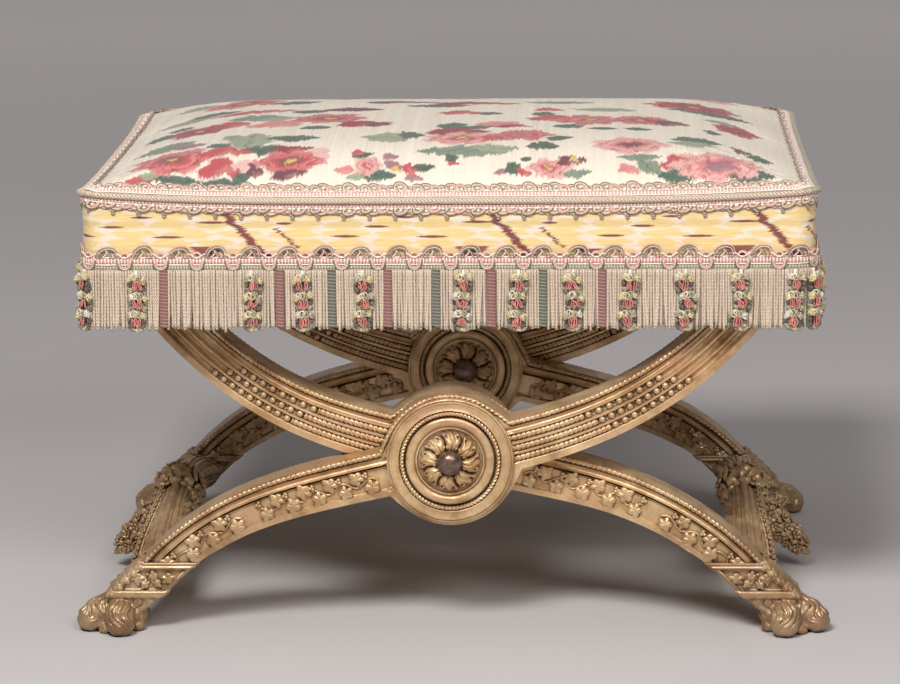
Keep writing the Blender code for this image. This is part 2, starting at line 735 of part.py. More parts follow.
def make_medallions():
    outer_face = FRONT_FACE - CLEARANCE
    inner_face = FRONT_FACE + CROSS_SET_BACK + BAR_THICKNESS + CLEARANCE
    for where, face, outward in (("outer", outer_face, -1), ("inner", inner_face, 1)):
        points, faces = turned(MEDALLION_PROFILE, 28, Vector((0, face, HUB_HEIGHT)), outward)
        disc = add_object(f"front_{where}_medallion", points, faces, GILT, 30)
        rosette = make_rosette(f"front_{where}_rosette", face, outward)
        mirrored(disc, f"back_{where}_medallion", "Y")
        mirrored(rosette, f"back_{where}_rosette", "Y")
    make_bolt(outer_face, inner_face)


def boss_profile(seat):
    """A domed boss that stands on the rosette, from its foot to its tip."""
    return [
        (BOSS_RADIUS, seat), (BOSS_RADIUS, seat + BOSS_HEIGHT * 0.25),
        (BOSS_RADIUS * 0.87, seat + BOSS_HEIGHT * 0.65), (BOSS_RADIUS * 0.5, seat + BOSS_HEIGHT * 0.93),
    ]


def make_bolt(outer_face, inner_face):
    """The bolt through both bars, and the domed nut on its inner end."""
    seat = MEDALLION_FLOOR + ROSETTE_HEIGHT + 2 * CLEARANCE
    shank = BOLT_DIAMETER / 2
    grip = seat + BOLT_GRIP
    far_end = outer_face - (inner_face + grip)
    profile = [(0, far_end), (shank, far_end), (shank, seat)] + boss_profile(seat)
    profile.append((0, seat + BOSS_HEIGHT))
    start = Vector((0, outer_face, HUB_HEIGHT))
    points, faces = turned_solid(profile, 12, start, -1)
    bolt = add_object("front_bolt", points, faces, DARK_METAL, 40)
    mirrored(bolt, "back_bolt", "Y")
    start = Vector((0, inner_face, HUB_HEIGHT))
    profile = [(0, seat)] + boss_profile(seat) + [(0, seat + BOSS_HEIGHT)]
    points, faces = turned_solid(profile, 12, start, 1)
    nut = add_object("front_cap_nut", points, faces)
    hole_end = inner_face + grip + CLEARANCE
    centre = Vector((0, inner_face, HUB_HEIGHT))
    hole = rod(centre, (0, hole_end, HUB_HEIGHT), 2 * (shank + CLEARANCE))
    combine(nut, hole, "DIFFERENCE")
    dress(nut, DARK_METAL, 40)
    mirrored(nut, "back_cap_nut", "Y")


# Seat frame

def side_rail(name, side):
    """A side rail over the whole depth of the seat, with its outer corners rounded."""
    radius = SEAT_CORNER - RAIL_INSET
    plan = [(RAIL_X - RAIL_WIDTH, -RAIL_Y), (RAIL_X - RAIL_WIDTH, RAIL_Y)]
    for y_side in (1, -1):
        for step in range(4):
            angle = math.radians(30 * step if y_side < 0 else 90 - 30 * step)
            x = RAIL_X - radius + radius * math.cos(angle)
            y = y_side * (RAIL_Y - radius + radius * math.sin(angle))
            plan.append((x, y))
    rings = [[Vector((side * x, y, z)) for x, y in plan] for z in (RAIL_BOTTOM, RAIL_TOP)]
    points, faces = loft(rings)
    return add_object(name, points, faces)


def rail_tenon(end, x_from, x_to, gap=0.0):
    """The tenons of the front (-1) or back (1) rail, or with a gap the mortise for one of them."""
    middle_y = end * (RAIL_Y - RAIL_WIDTH / 2)
    top = RAIL_TOP - RAIL_TENON_DROP
    half_y = RAIL_TENON_THICKNESS / 2 + gap
    low = (min(x_from, x_to), middle_y - half_y, top - RAIL_TENON_HEIGHT - gap)
    high = (max(x_from, x_to), middle_y + half_y, top + gap)
    return box("tenon", low, high)


def turned_back(cutter):
    """Moves a front cutter to the same place at the back."""
    cutter.data.transform(Matrix.Diagonal((1.0, -1.0, 1.0, 1.0)))
    cutter.data.flip_normals()
    return cutter


def make_rails():
    inner_x = RAIL_X - RAIL_WIDTH
    for side, name in ((-1, "left"), (1, "right")):
        rail = side_rail(f"{name}_rail", side)
        mirror = side < 0
        set_back = inner_set_back if mirror else no_set_back
        deepest = side * (inner_x + RAIL_TENON_LENGTH + CLEARANCE)
        for end in (-1, 1):
            mortise = tenon(ARM_REACH, mirror, set_back, CLEARANCE)
            bore = peg_bore(mirror, set_back)
            if end > 0:
                turned_back(mortise)
                turned_back(bore)
            combine(rail, mortise, "DIFFERENCE")
            combine(rail, bore, "DIFFERENCE")
            combine(rail, rail_tenon(end, side * inner_x / 2, deepest, CLEARANCE), "DIFFERENCE")
        dress(rail, BEECH)
    for end, name in ((-1, "front"), (1, "back")):
        ys = sorted((end * (RAIL_Y - RAIL_WIDTH), end * RAIL_Y))
        shoulder = inner_x - CLEARANCE
        rail = box(f"{name}_rail", (-shoulder, ys[0], RAIL_BOTTOM), (shoulder, ys[1], RAIL_TOP))
        reach = shoulder + RAIL_TENON_LENGTH
        combine(rail, rail_tenon(end, -reach, reach), "UNION")
        dress(rail, BEECH)


def make_corner_blocks():
    """The glued blocks that brace the corners, above the dust cloth."""
    inner_x = RAIL_X - RAIL_WIDTH - CLEARANCE
    inner_y = RAIL_Y - RAIL_WIDTH - CLEARANCE
    low = RAIL_BOTTOM + DUST_CLOTH_THICKNESS + 2 * CLEARANCE
    plan = ((inner_x, inner_y), (inner_x - CORNER_BLOCK, inner_y), (inner_x, inner_y - CORNER_BLOCK))
    rings = [[Vector((x, y, z)) for x, y in plan] for z in (low, RAIL_TOP - CLEARANCE)]
    points, faces = loft(rings)
    block = add_object("back_right_corner_block", points, faces, BEECH)
    mirrored(block, "back_left_corner_block", "X")
    mirrored(block, "front_right_corner_block", "Y")
    mirrored(block, "front_left_corner_block", "XY")


def make_webbing():
    base = RAIL_TOP + CLEARANCE
    inner_x = RAIL_X - RAIL_WIDTH
    inner_y = RAIL_Y - RAIL_WIDTH
    for i in range(CROSS_WEBS):
        x = inner_x * 2 * ((i + 0.5) / CROSS_WEBS - 0.5)
        low = (x - WEB_WIDTH / 2, -inner_y - WEB_HOLD, base)
        high = (x + WEB_WIDTH / 2, inner_y + WEB_HOLD, base + WEB_THICKNESS)
        box(f"cross_web_{i + 1}", low, high, WEBBING)
    base += WEB_THICKNESS + CLEARANCE
    for i in range(LONG_WEBS):
        y = inner_y * 2 * ((i + 0.5) / LONG_WEBS - 0.5)
        low = (-inner_x - WEB_HOLD, y - WEB_WIDTH / 2, base)
        high = (inner_x + WEB_HOLD, y + WEB_WIDTH / 2, base + WEB_THICKNESS)
        box(f"long_web_{i + 1}", low, high, WEBBING)
    base += WEB_THICKNESS + CLEARANCE
    rings = [side_ring(-RAIL_INSET - WEB_THICKNESS, z) for z in (base, base + HESSIAN_THICKNESS)]
    points, faces = loft(rings)
    add_object("hessian", points, faces, LINEN)
    return base + HESSIAN_THICKNESS + CLEARANCE


def make_dust_cloth():
    inner_x = RAIL_X - RAIL_WIDTH - CLEARANCE
    inner_y = RAIL_Y - RAIL_WIDTH - CLEARANCE
    low = (-inner_x, -inner_y, RAIL_BOTTOM)
    high = (inner_x, inner_y, RAIL_BOTTOM + DUST_CLOTH_THICKNESS)
    box("dust_cloth", low, high, LINEN)


# Upholstery

SIDE_PIECES = 6  # straight pieces along each side of the seat


def seat_loop(out):
    """Plan points round the seat, a distance outside its cover, with more on the corners."""
    half_x = HALF_X + out
    half_y = HALF_Y + out
    radius = SEAT_CORNER + out
    points = []
    turns = ((1, 1, 0), (-1, 1, 90), (-1, -1, 180), (1, -1, 270))
    for i, (side_x, side_y, start) in enumerate(turns):
        centre = Vector((side_x * (half_x - radius), side_y * (half_y - radius)))
        for step in range(4):
            angle = math.radians(start + 30 * step)
            points.append(centre + radius * Vector((math.cos(angle), math.sin(angle))))
        following = turns[(i + 1) % 4]
        target = Vector((following[0] * (half_x - radius), following[1] * (half_y - radius)))
        first = points[-1]
        angle = math.radians(following[2])
        last = target + radius * Vector((math.cos(angle), math.sin(angle)))
        for step in range(1, SIDE_PIECES):
            points.append(first.lerp(last, step / SIDE_PIECES))
    return points


def dip(point):
    """How far the edge of the seat dips at a plan point on it."""
    place = min(abs(point.x) / HALF_X, abs(point.y) / HALF_Y, 1.0)
    return EDGE_DIP * (1 - place ** 4)


def crown_ring(scale, inward):
    """A ring of the cover's top at a share of the plan, moved inward into the stuffing."""
    flat = scale ** CROWN_POWER
    ring = []
    for edge in seat_loop(-inward):
        slope_x = 1 - min(abs(edge.x) * scale / HALF_X, 1.0) ** 4
        slope_y = 1 - min(abs(edge.y) * scale / HALF_Y, 1.0) ** 4
        swell = math.sqrt(slope_x * slope_y * (1 - scale ** 12))
        height = EDGE_HEIGHT - dip(edge) * flat + CROWN_RISE * swell - inward
        ring.append(Vector((edge.x * scale, edge.y * scale, height)))
    return ring


def side_ring(out, height):
    return [Vector((p.x, p.y, height)) for p in seat_loop(out)]


def dipping_ring(out, drop):
    return [Vector((p.x, p.y, EDGE_HEIGHT - dip(p) - drop)) for p in seat_loop(out)]


CROWN_SCALES = (0.985, 1 - EDGE_GIMP_WIDTH / HALF_Y, 0.84, 0.68, 0.46, 0.2)


def make_cover():
    """The cover: a cap of silk with its crown and drawn-down sides, open below."""
    bottom = EDGE_HEIGHT - COVER_SKIRT
    inward = COVER_THICKNESS
    outer = [side_ring(0.0, bottom), dipping_ring(0.0, COVER_SHOULDER)]
    outer += [crown_ring(s, 0.0) for s in CROWN_SCALES]
    inner = [side_ring(-inward, bottom), dipping_ring(-inward, COVER_SHOULDER + inward)]
    inner += [crown_ring(s, inward) for s in CROWN_SCALES]
    rings = list(reversed(outer)) + inner
    points, faces = loft(rings)
    add_object("seat_cover", points, faces, SILK_TOP, 60)


def make_stuffing(bottom):
    inward = COVER_THICKNESS + CLEARANCE * 2
    rings = [side_ring(-inward, bottom), dipping_ring(-inward, COVER_SHOULDER + inward)]
    rings += [crown_ring(s, inward) for s in CROWN_SCALES[::2]]
    points, faces = loft(rings)
    add_object("horsehair_stuffing", points, faces, HORSEHAIR, 60)


def make_side_band():
    """The band of silk round the seat rails, which swells a little between its edges."""
    top = EDGE_HEIGHT - COVER_SKIRT - CLEARANCE
    middle = (top + RAIL_BOTTOM) / 2
    base = -SIDE_SWELL
    rings = [
        side_ring(base, RAIL_BOTTOM), side_ring(base + SIDE_SWELL, middle), side_ring(base, top),
        side_ring(base - BAND_THICKNESS, top), side_ring(base - BAND_THICKNESS, RAIL_BOTTOM),
    ]
    points, faces = loft(rings, closed=True)
    add_object("side_band", points, faces, SILK_SIDE, 60)


def make_edge_trim():
    radius = EDGE_CORD_DIAMETER / 2
    rings = []
    for step in range(6):
        angle = math.radians(60 * step)
        out = CLEARANCE + radius + radius * math.cos(angle)
        rings.append(dipping_ring(out, EDGE_CORD_DROP + radius * math.sin(angle)))
    points, faces = loft(rings, closed=True)
    add_object("edge_cord", points, faces, GIMP, 70)
    start = EDGE_CORD_DROP + radius + CLEARANCE
    rings = [
        dipping_ring(CLEARANCE, start), dipping_ring(CLEARANCE + GIMP_THICKNESS, start),
        side_ring(CLEARANCE + GIMP_THICKNESS, EDGE_HEIGHT - COVER_SKIRT),
        side_ring(CLEARANCE, EDGE_HEIGHT - COVER_SKIRT),
    ]
    points, faces = loft(rings, closed=True)
    add_object("lower_edge_gimp", points, faces, GIMP, 60)
    edge = crown_ring(CROWN_SCALES[0], 0.0)
    inside = crown_ring(CROWN_SCALES[1], 0.0)
    low = CLEARANCE * 2
    high = low + GIMP_THICKNESS
    rings = [lifted(edge, low), lifted(edge, high), lifted(inside, high), lifted(inside, low)]
    points, faces = loft(rings, closed=True)
    add_object("upper_edge_gimp", points, faces, GIMP, 60)


def lifted(ring, height):
    return [p + Vector((0, 0, height)) for p in ring]


def make_heading():
    """The flat braid that heads the fringe, over the lower edge of the side band."""
    out = CLEARANCE
    top = RAIL_BOTTOM + HEADING_HEIGHT
    rings = [
        side_ring(out, RAIL_BOTTOM), side_ring(out + HEADING_THICKNESS, RAIL_BOTTOM),
        side_ring(out + HEADING_THICKNESS, top), side_ring(out, top),
    ]
    points, faces = loft(rings, closed=True)
    add_object("fringe_heading", points, faces, GIMP, 60)


def fringe_columns(length):
    """Places along a fringe, each with how much of a tassel stands there."""
    count = round(length / TASSEL_PITCH)
    pitch = (length - TASSEL_WIDTH) / count
    columns = []
    for i in range(count + 1):
        centre = -length / 2 + TASSEL_WIDTH / 2 + pitch * i
        columns += [
            (centre - TASSEL_WIDTH / 2, 0.0), (centre - TASSEL_WIDTH / 4, 1.0),
            (centre + TASSEL_WIDTH / 4, 1.0), (centre + TASSEL_WIDTH / 2, 0.0),
        ]
    return columns


def make_fringe(name, length, distance, turn):
    """One side of the fringe: a thin hanging skirt with the swell of its tassels."""
    top = RAIL_BOTTOM - CLEARANCE
    placing = Matrix.Rotation(turn, 4, "Z")
    rings = []
    for along, tassel in fringe_columns(length):
        bottom = top - FRINGE_DROP - TASSEL_DROP * tassel
        belly = (top + bottom * 2) / 3
        foot_out = distance + FRINGE_FLARE + FRINGE_THICKNESS + TASSEL_SWELL * tassel
        section = (
            (distance + FRINGE_THICKNESS, top), (foot_out, belly),
            (foot_out - TASSEL_SWELL * tassel / 2, bottom),
            (distance + FRINGE_FLARE, bottom), (distance, top),
        )
        rings.append([placing @ Vector((along, -out, height)) for out, height in section])
    points, faces = loft(rings)
    add_object(name, points, faces, FRINGE, 50)


def make_fringes():
    out_x = HALF_X + CLEARANCE
    out_y = HALF_Y + CLEARANCE
    reach = FRINGE_FLARE + FRINGE_THICKNESS
    long_side = 2 * (out_x + reach)
    short_side = 2 * (out_y - CLEARANCE)
    make_fringe("front_fringe", long_side, out_y, 0.0)
    make_fringe("back_fringe", long_side, out_y, math.pi)
    make_fringe("right_fringe", short_side, out_x, math.pi / 2)
    make_fringe("left_fringe", short_side, out_x, -math.pi / 2)


def main():
    clear_scene()
    make_frames()
    make_foot()
    make_stretcher()
    make_drop()
    make_medallions()
    make_rails()
    make_corner_blocks()
    stuffing_bottom = make_webbing()
    make_dust_cloth()
    make_cover()
    make_stuffing(stuffing_bottom)
    make_side_band()
    make_edge_trim()
    make_heading()
    make_fringes()


main()
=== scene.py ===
"""Looks of a giltwood stool with crossed frames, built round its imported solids.

Metres, +Z up, front towards -Y. Each visible CAD solid is either given a finish of its own or replaced by a
finer piece in the same place.
"""

import json
import math

import bpy
import numpy as np
from mathutils import Matrix, Vector

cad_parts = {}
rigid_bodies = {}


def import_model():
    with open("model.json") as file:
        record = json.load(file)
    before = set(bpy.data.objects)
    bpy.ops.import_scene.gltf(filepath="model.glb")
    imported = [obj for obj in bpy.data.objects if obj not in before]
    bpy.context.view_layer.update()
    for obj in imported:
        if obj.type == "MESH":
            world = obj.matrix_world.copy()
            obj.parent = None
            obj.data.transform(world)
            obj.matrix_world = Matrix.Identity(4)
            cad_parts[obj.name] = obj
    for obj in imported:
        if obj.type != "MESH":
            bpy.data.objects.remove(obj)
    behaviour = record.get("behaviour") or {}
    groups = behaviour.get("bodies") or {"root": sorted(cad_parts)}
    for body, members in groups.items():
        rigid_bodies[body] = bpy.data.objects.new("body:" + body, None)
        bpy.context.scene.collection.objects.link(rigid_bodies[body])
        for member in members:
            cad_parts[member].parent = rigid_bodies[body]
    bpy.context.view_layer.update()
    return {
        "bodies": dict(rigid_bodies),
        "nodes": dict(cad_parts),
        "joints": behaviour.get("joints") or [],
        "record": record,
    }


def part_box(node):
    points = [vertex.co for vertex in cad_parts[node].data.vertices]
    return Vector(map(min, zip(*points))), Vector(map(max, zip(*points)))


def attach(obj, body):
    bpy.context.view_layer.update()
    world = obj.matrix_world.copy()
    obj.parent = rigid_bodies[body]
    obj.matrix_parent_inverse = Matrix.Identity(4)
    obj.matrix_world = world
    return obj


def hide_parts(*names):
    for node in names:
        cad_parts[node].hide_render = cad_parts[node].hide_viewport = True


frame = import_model()


# The photograph's camera
CAMERA_PLACE = (0.1332, -3.4594, 0.9355)
CAMERA_YAW = -2.344
CAMERA_PITCH = 11.648
CAMERA_ROLL = -0.568
CAMERA_LENS = 148.675

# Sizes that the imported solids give
COVER_LOW, COVER_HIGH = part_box("seat_cover")
HALF_X = COVER_HIGH[0]
HALF_Y = COVER_HIGH[1]
CROWN_TOP = COVER_HIGH[2]
COVER_BOTTOM = COVER_LOW[2]
RAIL_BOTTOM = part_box("front_rail")[0][2]
FRONT_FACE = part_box("front_outer_bar")[0][1]
BAR_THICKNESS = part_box("front_outer_bar")[1][1] - FRONT_FACE
DISC_LOW, DISC_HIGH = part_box("front_outer_medallion")
MEDALLION_RADIUS = (DISC_HIGH[0] - DISC_LOW[0]) / 2
HUB_HEIGHT = (DISC_HIGH[2] + DISC_LOW[2]) / 2
INNER_DISC_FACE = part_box("front_inner_medallion")[0][1]
FOOT_LOW, FOOT_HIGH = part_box("front_left_foot")
COLLAR_HEIGHT = FOOT_HIGH[2]
FOOT_SPAN = -2 * FOOT_LOW[0]

# The seat's own form
SEAT_CORNER = 0.020
SEAT_SQUARENESS = 30
CROWN_RISE = 0.030
CROWN_POWER = 3.4
EDGE_DIP = 0.008
EDGE_HEIGHT = CROWN_TOP - CROWN_RISE
CLEARANCE = 0.0003

# The bars' own form, with x positive along an arm and negative along a leg
HUB_RADIUS = 0.060
HUB_BLEND = 0.022
CROSS_SLOPE = 0.2235
SLANT = math.hypot(1, CROSS_SLOPE)  # length along a bar's middle, for each metre across
ARM_CURVE = 3.2
LEG_CURVE = 5.0
ARM_WIDTH_HUB = 0.047
ARM_WIDTH_TOP = 0.038
LEG_WIDTH_HUB = 0.043
LEG_WIDTH_FOOT = 0.036
LEG_REACH = 0.276
LEG_REACH_HEIGHT = 0.041
CROSS_SET_BACK = 0.024
TOP_SET_BACK = 0.048
ARM_REACH = HALF_X - 0.0046 - ARM_WIDTH_TOP * 0.64
ARM_END_HEIGHT = RAIL_BOTTOM - CLEARANCE
ARM_CURL = ARM_END_HEIGHT - HUB_HEIGHT - CROSS_SLOPE * ARM_REACH
LEG_CURL = HUB_HEIGHT - LEG_REACH_HEIGHT - CROSS_SLOPE * LEG_REACH

GOLDEN_TURN = 2.39996  # the golden angle, which spreads things evenly

rng = np.random.default_rng(7)


# Small tools

def ease(value, start, end):
    t = np.clip((value - start) / (end - start), 0.0, 1.0)
    return t * t * (3 - 2 * t)


def linear(red, green, blue):
    """A colour written as it looks on a screen, 0 to 255, as linear values."""
    return tuple(((c / 255 + 0.055) / 1.055) ** 2.4 if c > 10 else c / 3294 for c in (red, green, blue))


def unit(vectors):
    return vectors / np.maximum(np.linalg.norm(vectors, axis=-1, keepdims=True), 1e-12)


class Form:
    """Points and four-sided faces gathered from many small shapes, to become one piece."""

    def __init__(self):
        self.points, self.faces, self.tints, self.twists, self.count = [], [], [], [], 0

    def add(self, points, faces, tint=(1.0, 1.0, 1.0), twist=0.0):
        points = np.asarray(points, float).reshape(-1, 3)
        self.twists.append(np.broadcast_to(np.asarray(twist, float), len(points)))
        self.points.append(points)
        self.faces.append(np.asarray(faces, int) + self.count)
        self.tints.append(np.broadcast_to(np.asarray(tint, float), (len(points), 3)))
        self.count += len(points)

    def mesh(self, name):
        points = np.concatenate(self.points)
        faces = np.concatenate(self.faces)
        tints = np.concatenate(self.tints)
        mesh = bpy.data.meshes.new(name)
        mesh.vertices.add(len(points))
        mesh.vertices.foreach_set("co", points.astype(np.float32).ravel())
        mesh.loops.add(faces.size)
        mesh.loops.foreach_set("vertex_index", faces.astype(np.int32).ravel())
        mesh.polygons.add(len(faces))
        mesh.polygons.foreach_set("loop_start", np.arange(0, faces.size, 4, dtype=np.int32))
        mesh.update(calc_edges=True)
        layer = mesh.color_attributes.new("tint", "FLOAT_COLOR", "POINT")
        colours = np.ones((len(points), 4), np.float32)
        colours[:, :3] = tints
        layer.data.foreach_set("color", colours.ravel())
        layer = mesh.attributes.new("twist", "FLOAT", "POINT")
        layer.data.foreach_set("value", np.concatenate(self.twists).astype(np.float32))
        return mesh

    def make(self, name, finish, nodes=(), sharp=None):
        return place_piece(name, self.mesh(name), finish, nodes, sharp)


def new_object(name, data):
    made = bpy.data.objects.new(name, data)
    bpy.context.scene.collection.objects.link(made)
    return made


def place_piece(name, mesh, finish, nodes=(), sharp=None):
    """Puts a mesh into the scene as a piece of the stool, in place of the CAD nodes named."""
    piece = new_object(name, mesh)
    mesh.materials.clear()
    mesh.materials.append(finish)
    mesh.shade_smooth()
    if sharp is not None:
        mesh.set_sharp_from_angle(angle=math.radians(sharp))
    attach(piece, "root")
    if nodes:
        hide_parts(*nodes)
    return piece


def grid_faces(rows, columns, wrap=False, flip=False):
    """Faces over a grid of points, wrapping round across its columns if it closes."""
    row = np.arange(rows - 1)[:, None] * columns
    column = np.arange(columns if wrap else columns - 1)[None, :]
    following = (column + 1) % columns
    faces = np.stack([row + column, row + following, row + columns + following, row + columns + column], -1)
    faces = faces.reshape(-1, 4)
    return faces[:, ::-1] if flip else faces


def cap_faces(count, first=0):
    """A flat end over a ring of an even number of points."""
    return np.array([(i, i + 1, count - 2 - i, count - 1 - i) for i in range(count // 2 - 1)]) + first


def mesh_points(mesh):
    points = np.empty(len(mesh.vertices) * 3)
    mesh.vertices.foreach_get("co", points)
    return points.reshape(-1, 3)


def ring_angles(count):
    return math.tau * np.arange(count) / count


def skin_faces(rows, columns):
    """Faces over rings of points, with a flat end at the first and the last ring."""
    ends = cap_faces(columns)[:, ::-1], cap_faces(columns, (rows - 1) * columns)
    return np.concatenate([grid_faces(rows, columns, wrap=True), *ends])


def tube(path, radius, sides, across=(0, 0, 1), closed=False):
    """Points and faces of a tube along a path. The radius may change along it and round it."""
    path = np.asarray(path, float)
    count = len(path)
    ahead = unit(np.roll(path, -1, 0) - np.roll(path, 1, 0) if closed else np.gradient(path, axis=0))
    side = unit(np.cross(ahead, np.broadcast_to(np.asarray(across, float), path.shape)))
    other = np.cross(ahead, side)
    angle = ring_angles(sides)[:, None]
    radius = np.asarray(radius, float)
    if radius.ndim < 2:
        radius = np.broadcast_to(radius, count)[:, None]
    points = path[:, None] + radius[..., None] * (np.cos(angle) * side[:, None] + np.sin(angle) * other[:, None])
    if not closed:
        return points.reshape(-1, 3), skin_faces(count, sides)
    near = np.arange(sides)
    far = (near + 1) % sides
    last = (count - 1) * sides
    joint = np.stack([last + near, last + far, far, near], -1)
    return points.reshape(-1, 3), np.concatenate([grid_faces(count, sides, wrap=True), joint])


def path_length(path):
    return np.concatenate([[0.0], np.cumsum(np.linalg.norm(np.diff(path, axis=0), axis=1))])


def rope(path, radius, pitch, across, sides, strands, depth, hand=1, closed=False):
    """A twisted rope along a path, whose ridges pass at a pitch."""
    phase = strands * ring_angles(sides)[None, :] - hand * math.tau * path_length(path)[:, None] / pitch
    radii = radius * (1 - depth * (1 - np.abs(np.cos(phase / 2))))
    return tube(path, radii, sides, across, closed=closed)


def resample(path, step):
    """The same path with points at an even step."""
    path = np.asarray(path, float)
    along = path_length(path)
    count = max(int(round(along[-1] / step)), 3)
    places = np.linspace(0, along[-1], count + 1)
    return np.stack([np.interp(places, along, path[:, axis]) for axis in range(3)], -1)


def unit_ball(pieces):
    """A round ball made from the six sides of a cube, with four-sided faces only."""
    points, faces = [], []
    line = np.tan(np.linspace(-1, 1, pieces + 1) * math.pi / 4)
    a, b = np.meshgrid(line, line, indexing="ij")
    for axis in range(3):
        for sign in (-1.0, 1.0):
            side = np.zeros((pieces + 1, pieces + 1, 3))
            side[..., axis] = sign
            side[..., (axis + 1) % 3] = a
            side[..., (axis + 2) % 3] = b
            faces.append(grid_faces(pieces + 1, pieces + 1, flip=sign < 0) + len(points) * (pieces + 1) ** 2)
            points.append(unit(side).reshape(-1, 3))
    points = np.concatenate(points)
    faces = np.concatenate(faces)
    _, first, inverse = np.unique(np.round(points, 6), axis=0, return_index=True, return_inverse=True)
    return points[first], inverse.ravel()[faces]


BALLS = {pieces: unit_ball(pieces) for pieces in (2, 3, 4, 6)}


def ball(centre, radii, pieces, axes=None):
    """A ball or an egg, with its own axes if they are given."""
    points, faces = BALLS[pieces]
    points = points * np.broadcast_to(np.asarray(radii, float), (3,))
    if axes is not None:
        points = points @ np.asarray(axes, float)
    return points + np.asarray(centre, float), faces


def laid(patch, first, out, place):
    """A patch at its place, with its length along one direction and its rise along another."""
    points, faces = patch
    return points @ np.stack([first, np.cross(out, first), out]) + place, faces


def turned(profile, centre, outward, steps):
    """A skin turned about a line along Y. A profile point is (radius, distance outward)."""
    profile = np.asarray(profile, float)
    angle = ring_angles(steps)
    points = np.empty((len(profile), steps, 3))
    points[..., 0] = centre[0] + profile[:, :1] * np.cos(angle)
    points[..., 1] = centre[1] + outward * profile[:, 1:2]
    points[..., 2] = centre[2] + profile[:, :1] * np.sin(angle)
    return points.reshape(-1, 3), grid_faces(len(profile), steps, wrap=True, flip=outward > 0)


def fused(form, name, voxel):
    """The shapes of a form made into one carved skin."""
    piece = new_object(name, form.mesh(name))
    remesh = piece.modifiers.new("skin", "REMESH")
    remesh.mode = "VOXEL"
    remesh.voxel_size = voxel
    relax = piece.modifiers.new("relax", "SMOOTH")
    relax.factor = 0.5
    relax.iterations = 2
    shape = piece.evaluated_get(bpy.context.evaluated_depsgraph_get())
    mesh = bpy.data.meshes.new_from_object(shape)
    bpy.data.objects.remove(piece, do_unlink=True)
    return mesh


def mirrored(mesh, name, signs):
    twin = mesh.copy()
    twin.name = name
    twin.transform(Matrix.Diagonal((*signs, 1.0)))
    if signs[0] * signs[1] * signs[2] < 0:
        twin.flip_normals()
    return twin


# Finishes

class Finish:
    """A material with the nodes that give its colour, roughness and relief."""

    def __init__(self, name, roughness=0.5, metallic=0.0, **sockets):
        self.material = bpy.data.materials.new(name)
        self.material.use_nodes = True
        self.tree = self.material.node_tree
        self.shader = self.tree.nodes["Principled BSDF"]
        self.shader.inputs["Roughness"].default_value = roughness
        self.shader.inputs["Metallic"].default_value = metallic
        for socket, value in sockets.items():
            self.shader.inputs[socket.replace("_", " ")].default_value = value
        self.place = self.node("TexCoord").outputs["Object"]

    def node(self, kind, inputs=None, **settings):
        made = self.tree.nodes.new("ShaderNode" + kind)
        for key, value in settings.items():
            setattr(made, key, value)
        for socket, value in (inputs or {}).items():
            if isinstance(value, bpy.types.NodeSocket):
                self.tree.links.new(value, made.inputs[socket])
            else:
                made.inputs[socket].default_value = value
        return made

    def noise(self, scale, detail, roughness=0.55, stretch=None):
        place = self.place
        if stretch is not None:
            place = self.node("Mapping", {"Vector": place, "Scale": stretch}).outputs["Vector"]
        inputs = {"Vector": place, "Scale": scale, "Detail": detail, "Roughness": roughness}
        return self.node("TexNoise", inputs).outputs["Fac"]

    def ramp(self, value, *stops):
        """A ramp from a value to colours or greys, each stop being (place, colour)."""
        made = self.node("ValToRGB", {"Fac": value})
        elements = made.color_ramp.elements
        while len(elements) < len(stops):
            elements.new(0.5)
        for element, (place, colour) in zip(elements, stops):
            element.position = place
            if isinstance(colour, float):
                colour = (colour, colour, colour)
            element.color = (*colour, 1.0)
        return made.outputs["Color"]

    def mix(self, share, first, second, mode="MIX"):
        colours = {6: first, 7: second}
        for socket, colour in colours.items():
            if isinstance(colour, tuple):
                colours[socket] = (*colour, 1.0)
        return self.node("Mix", {0: share, **colours}, data_type="RGBA", blend_type=mode).outputs[2]

    def calc(self, operation, *values):
        return self.node("Math", dict(enumerate(values)), operation=operation).outputs[0]

    def painted(self):
        """The colour that lies on the mesh."""
        return self.node("Attribute", attribute_name="tint").outputs["Color"]

    def sum(self, first, second, share=1.0):
        """The first value plus a share of the second."""
        return self.calc("MULTIPLY_ADD", second, share, first)

    def done(self, colour, height=None, distance=0.0005, strength=0.6, roughness=None):
        self.tree.links.new(colour, self.shader.inputs["Base Color"])
        if height is not None:
            bump = self.node("Bump", {"Height": height, "Distance": distance, "Strength": strength})
            self.tree.links.new(bump.outputs["Normal"], self.shader.inputs["Normal"])
        if roughness is not None:
            self.tree.links.new(roughness, self.shader.inputs["Roughness"])
        return self.material


GOLD_LIGHT = linear(245, 217, 171)
GOLD_MIDDLE = linear(219, 183, 135)
GOLD_DEEP = linear(181, 141, 99)
GOLD_ROSY = linear(204, 150, 120)
GOLD_SHADE = linear(62, 42, 30)
BOLE = linear(150, 92, 66)
# How dark the gilt gets at the floor: partly dust, partly painted shade of the low parts under the seat
LOW_DUST_AND_SHADE = (0.59, 0.58, 0.60)
IRON_DARK = linear(96, 76, 66)
IRON_LIGHT = linear(150, 124, 108)
BEECH_DARK = linear(140, 104, 66)
BEECH_LIGHT = linear(186, 150, 106)
HAIR_DARK = linear(28, 22, 20)
HAIR_LIGHT = linear(74, 60, 52)
JUTE_DARK = linear(150, 122, 84)
JUTE_LIGHT = linear(176, 148, 106)
LINEN_DARK = linear(172, 158, 132)
LINEN_LIGHT = linear(196, 184, 160)


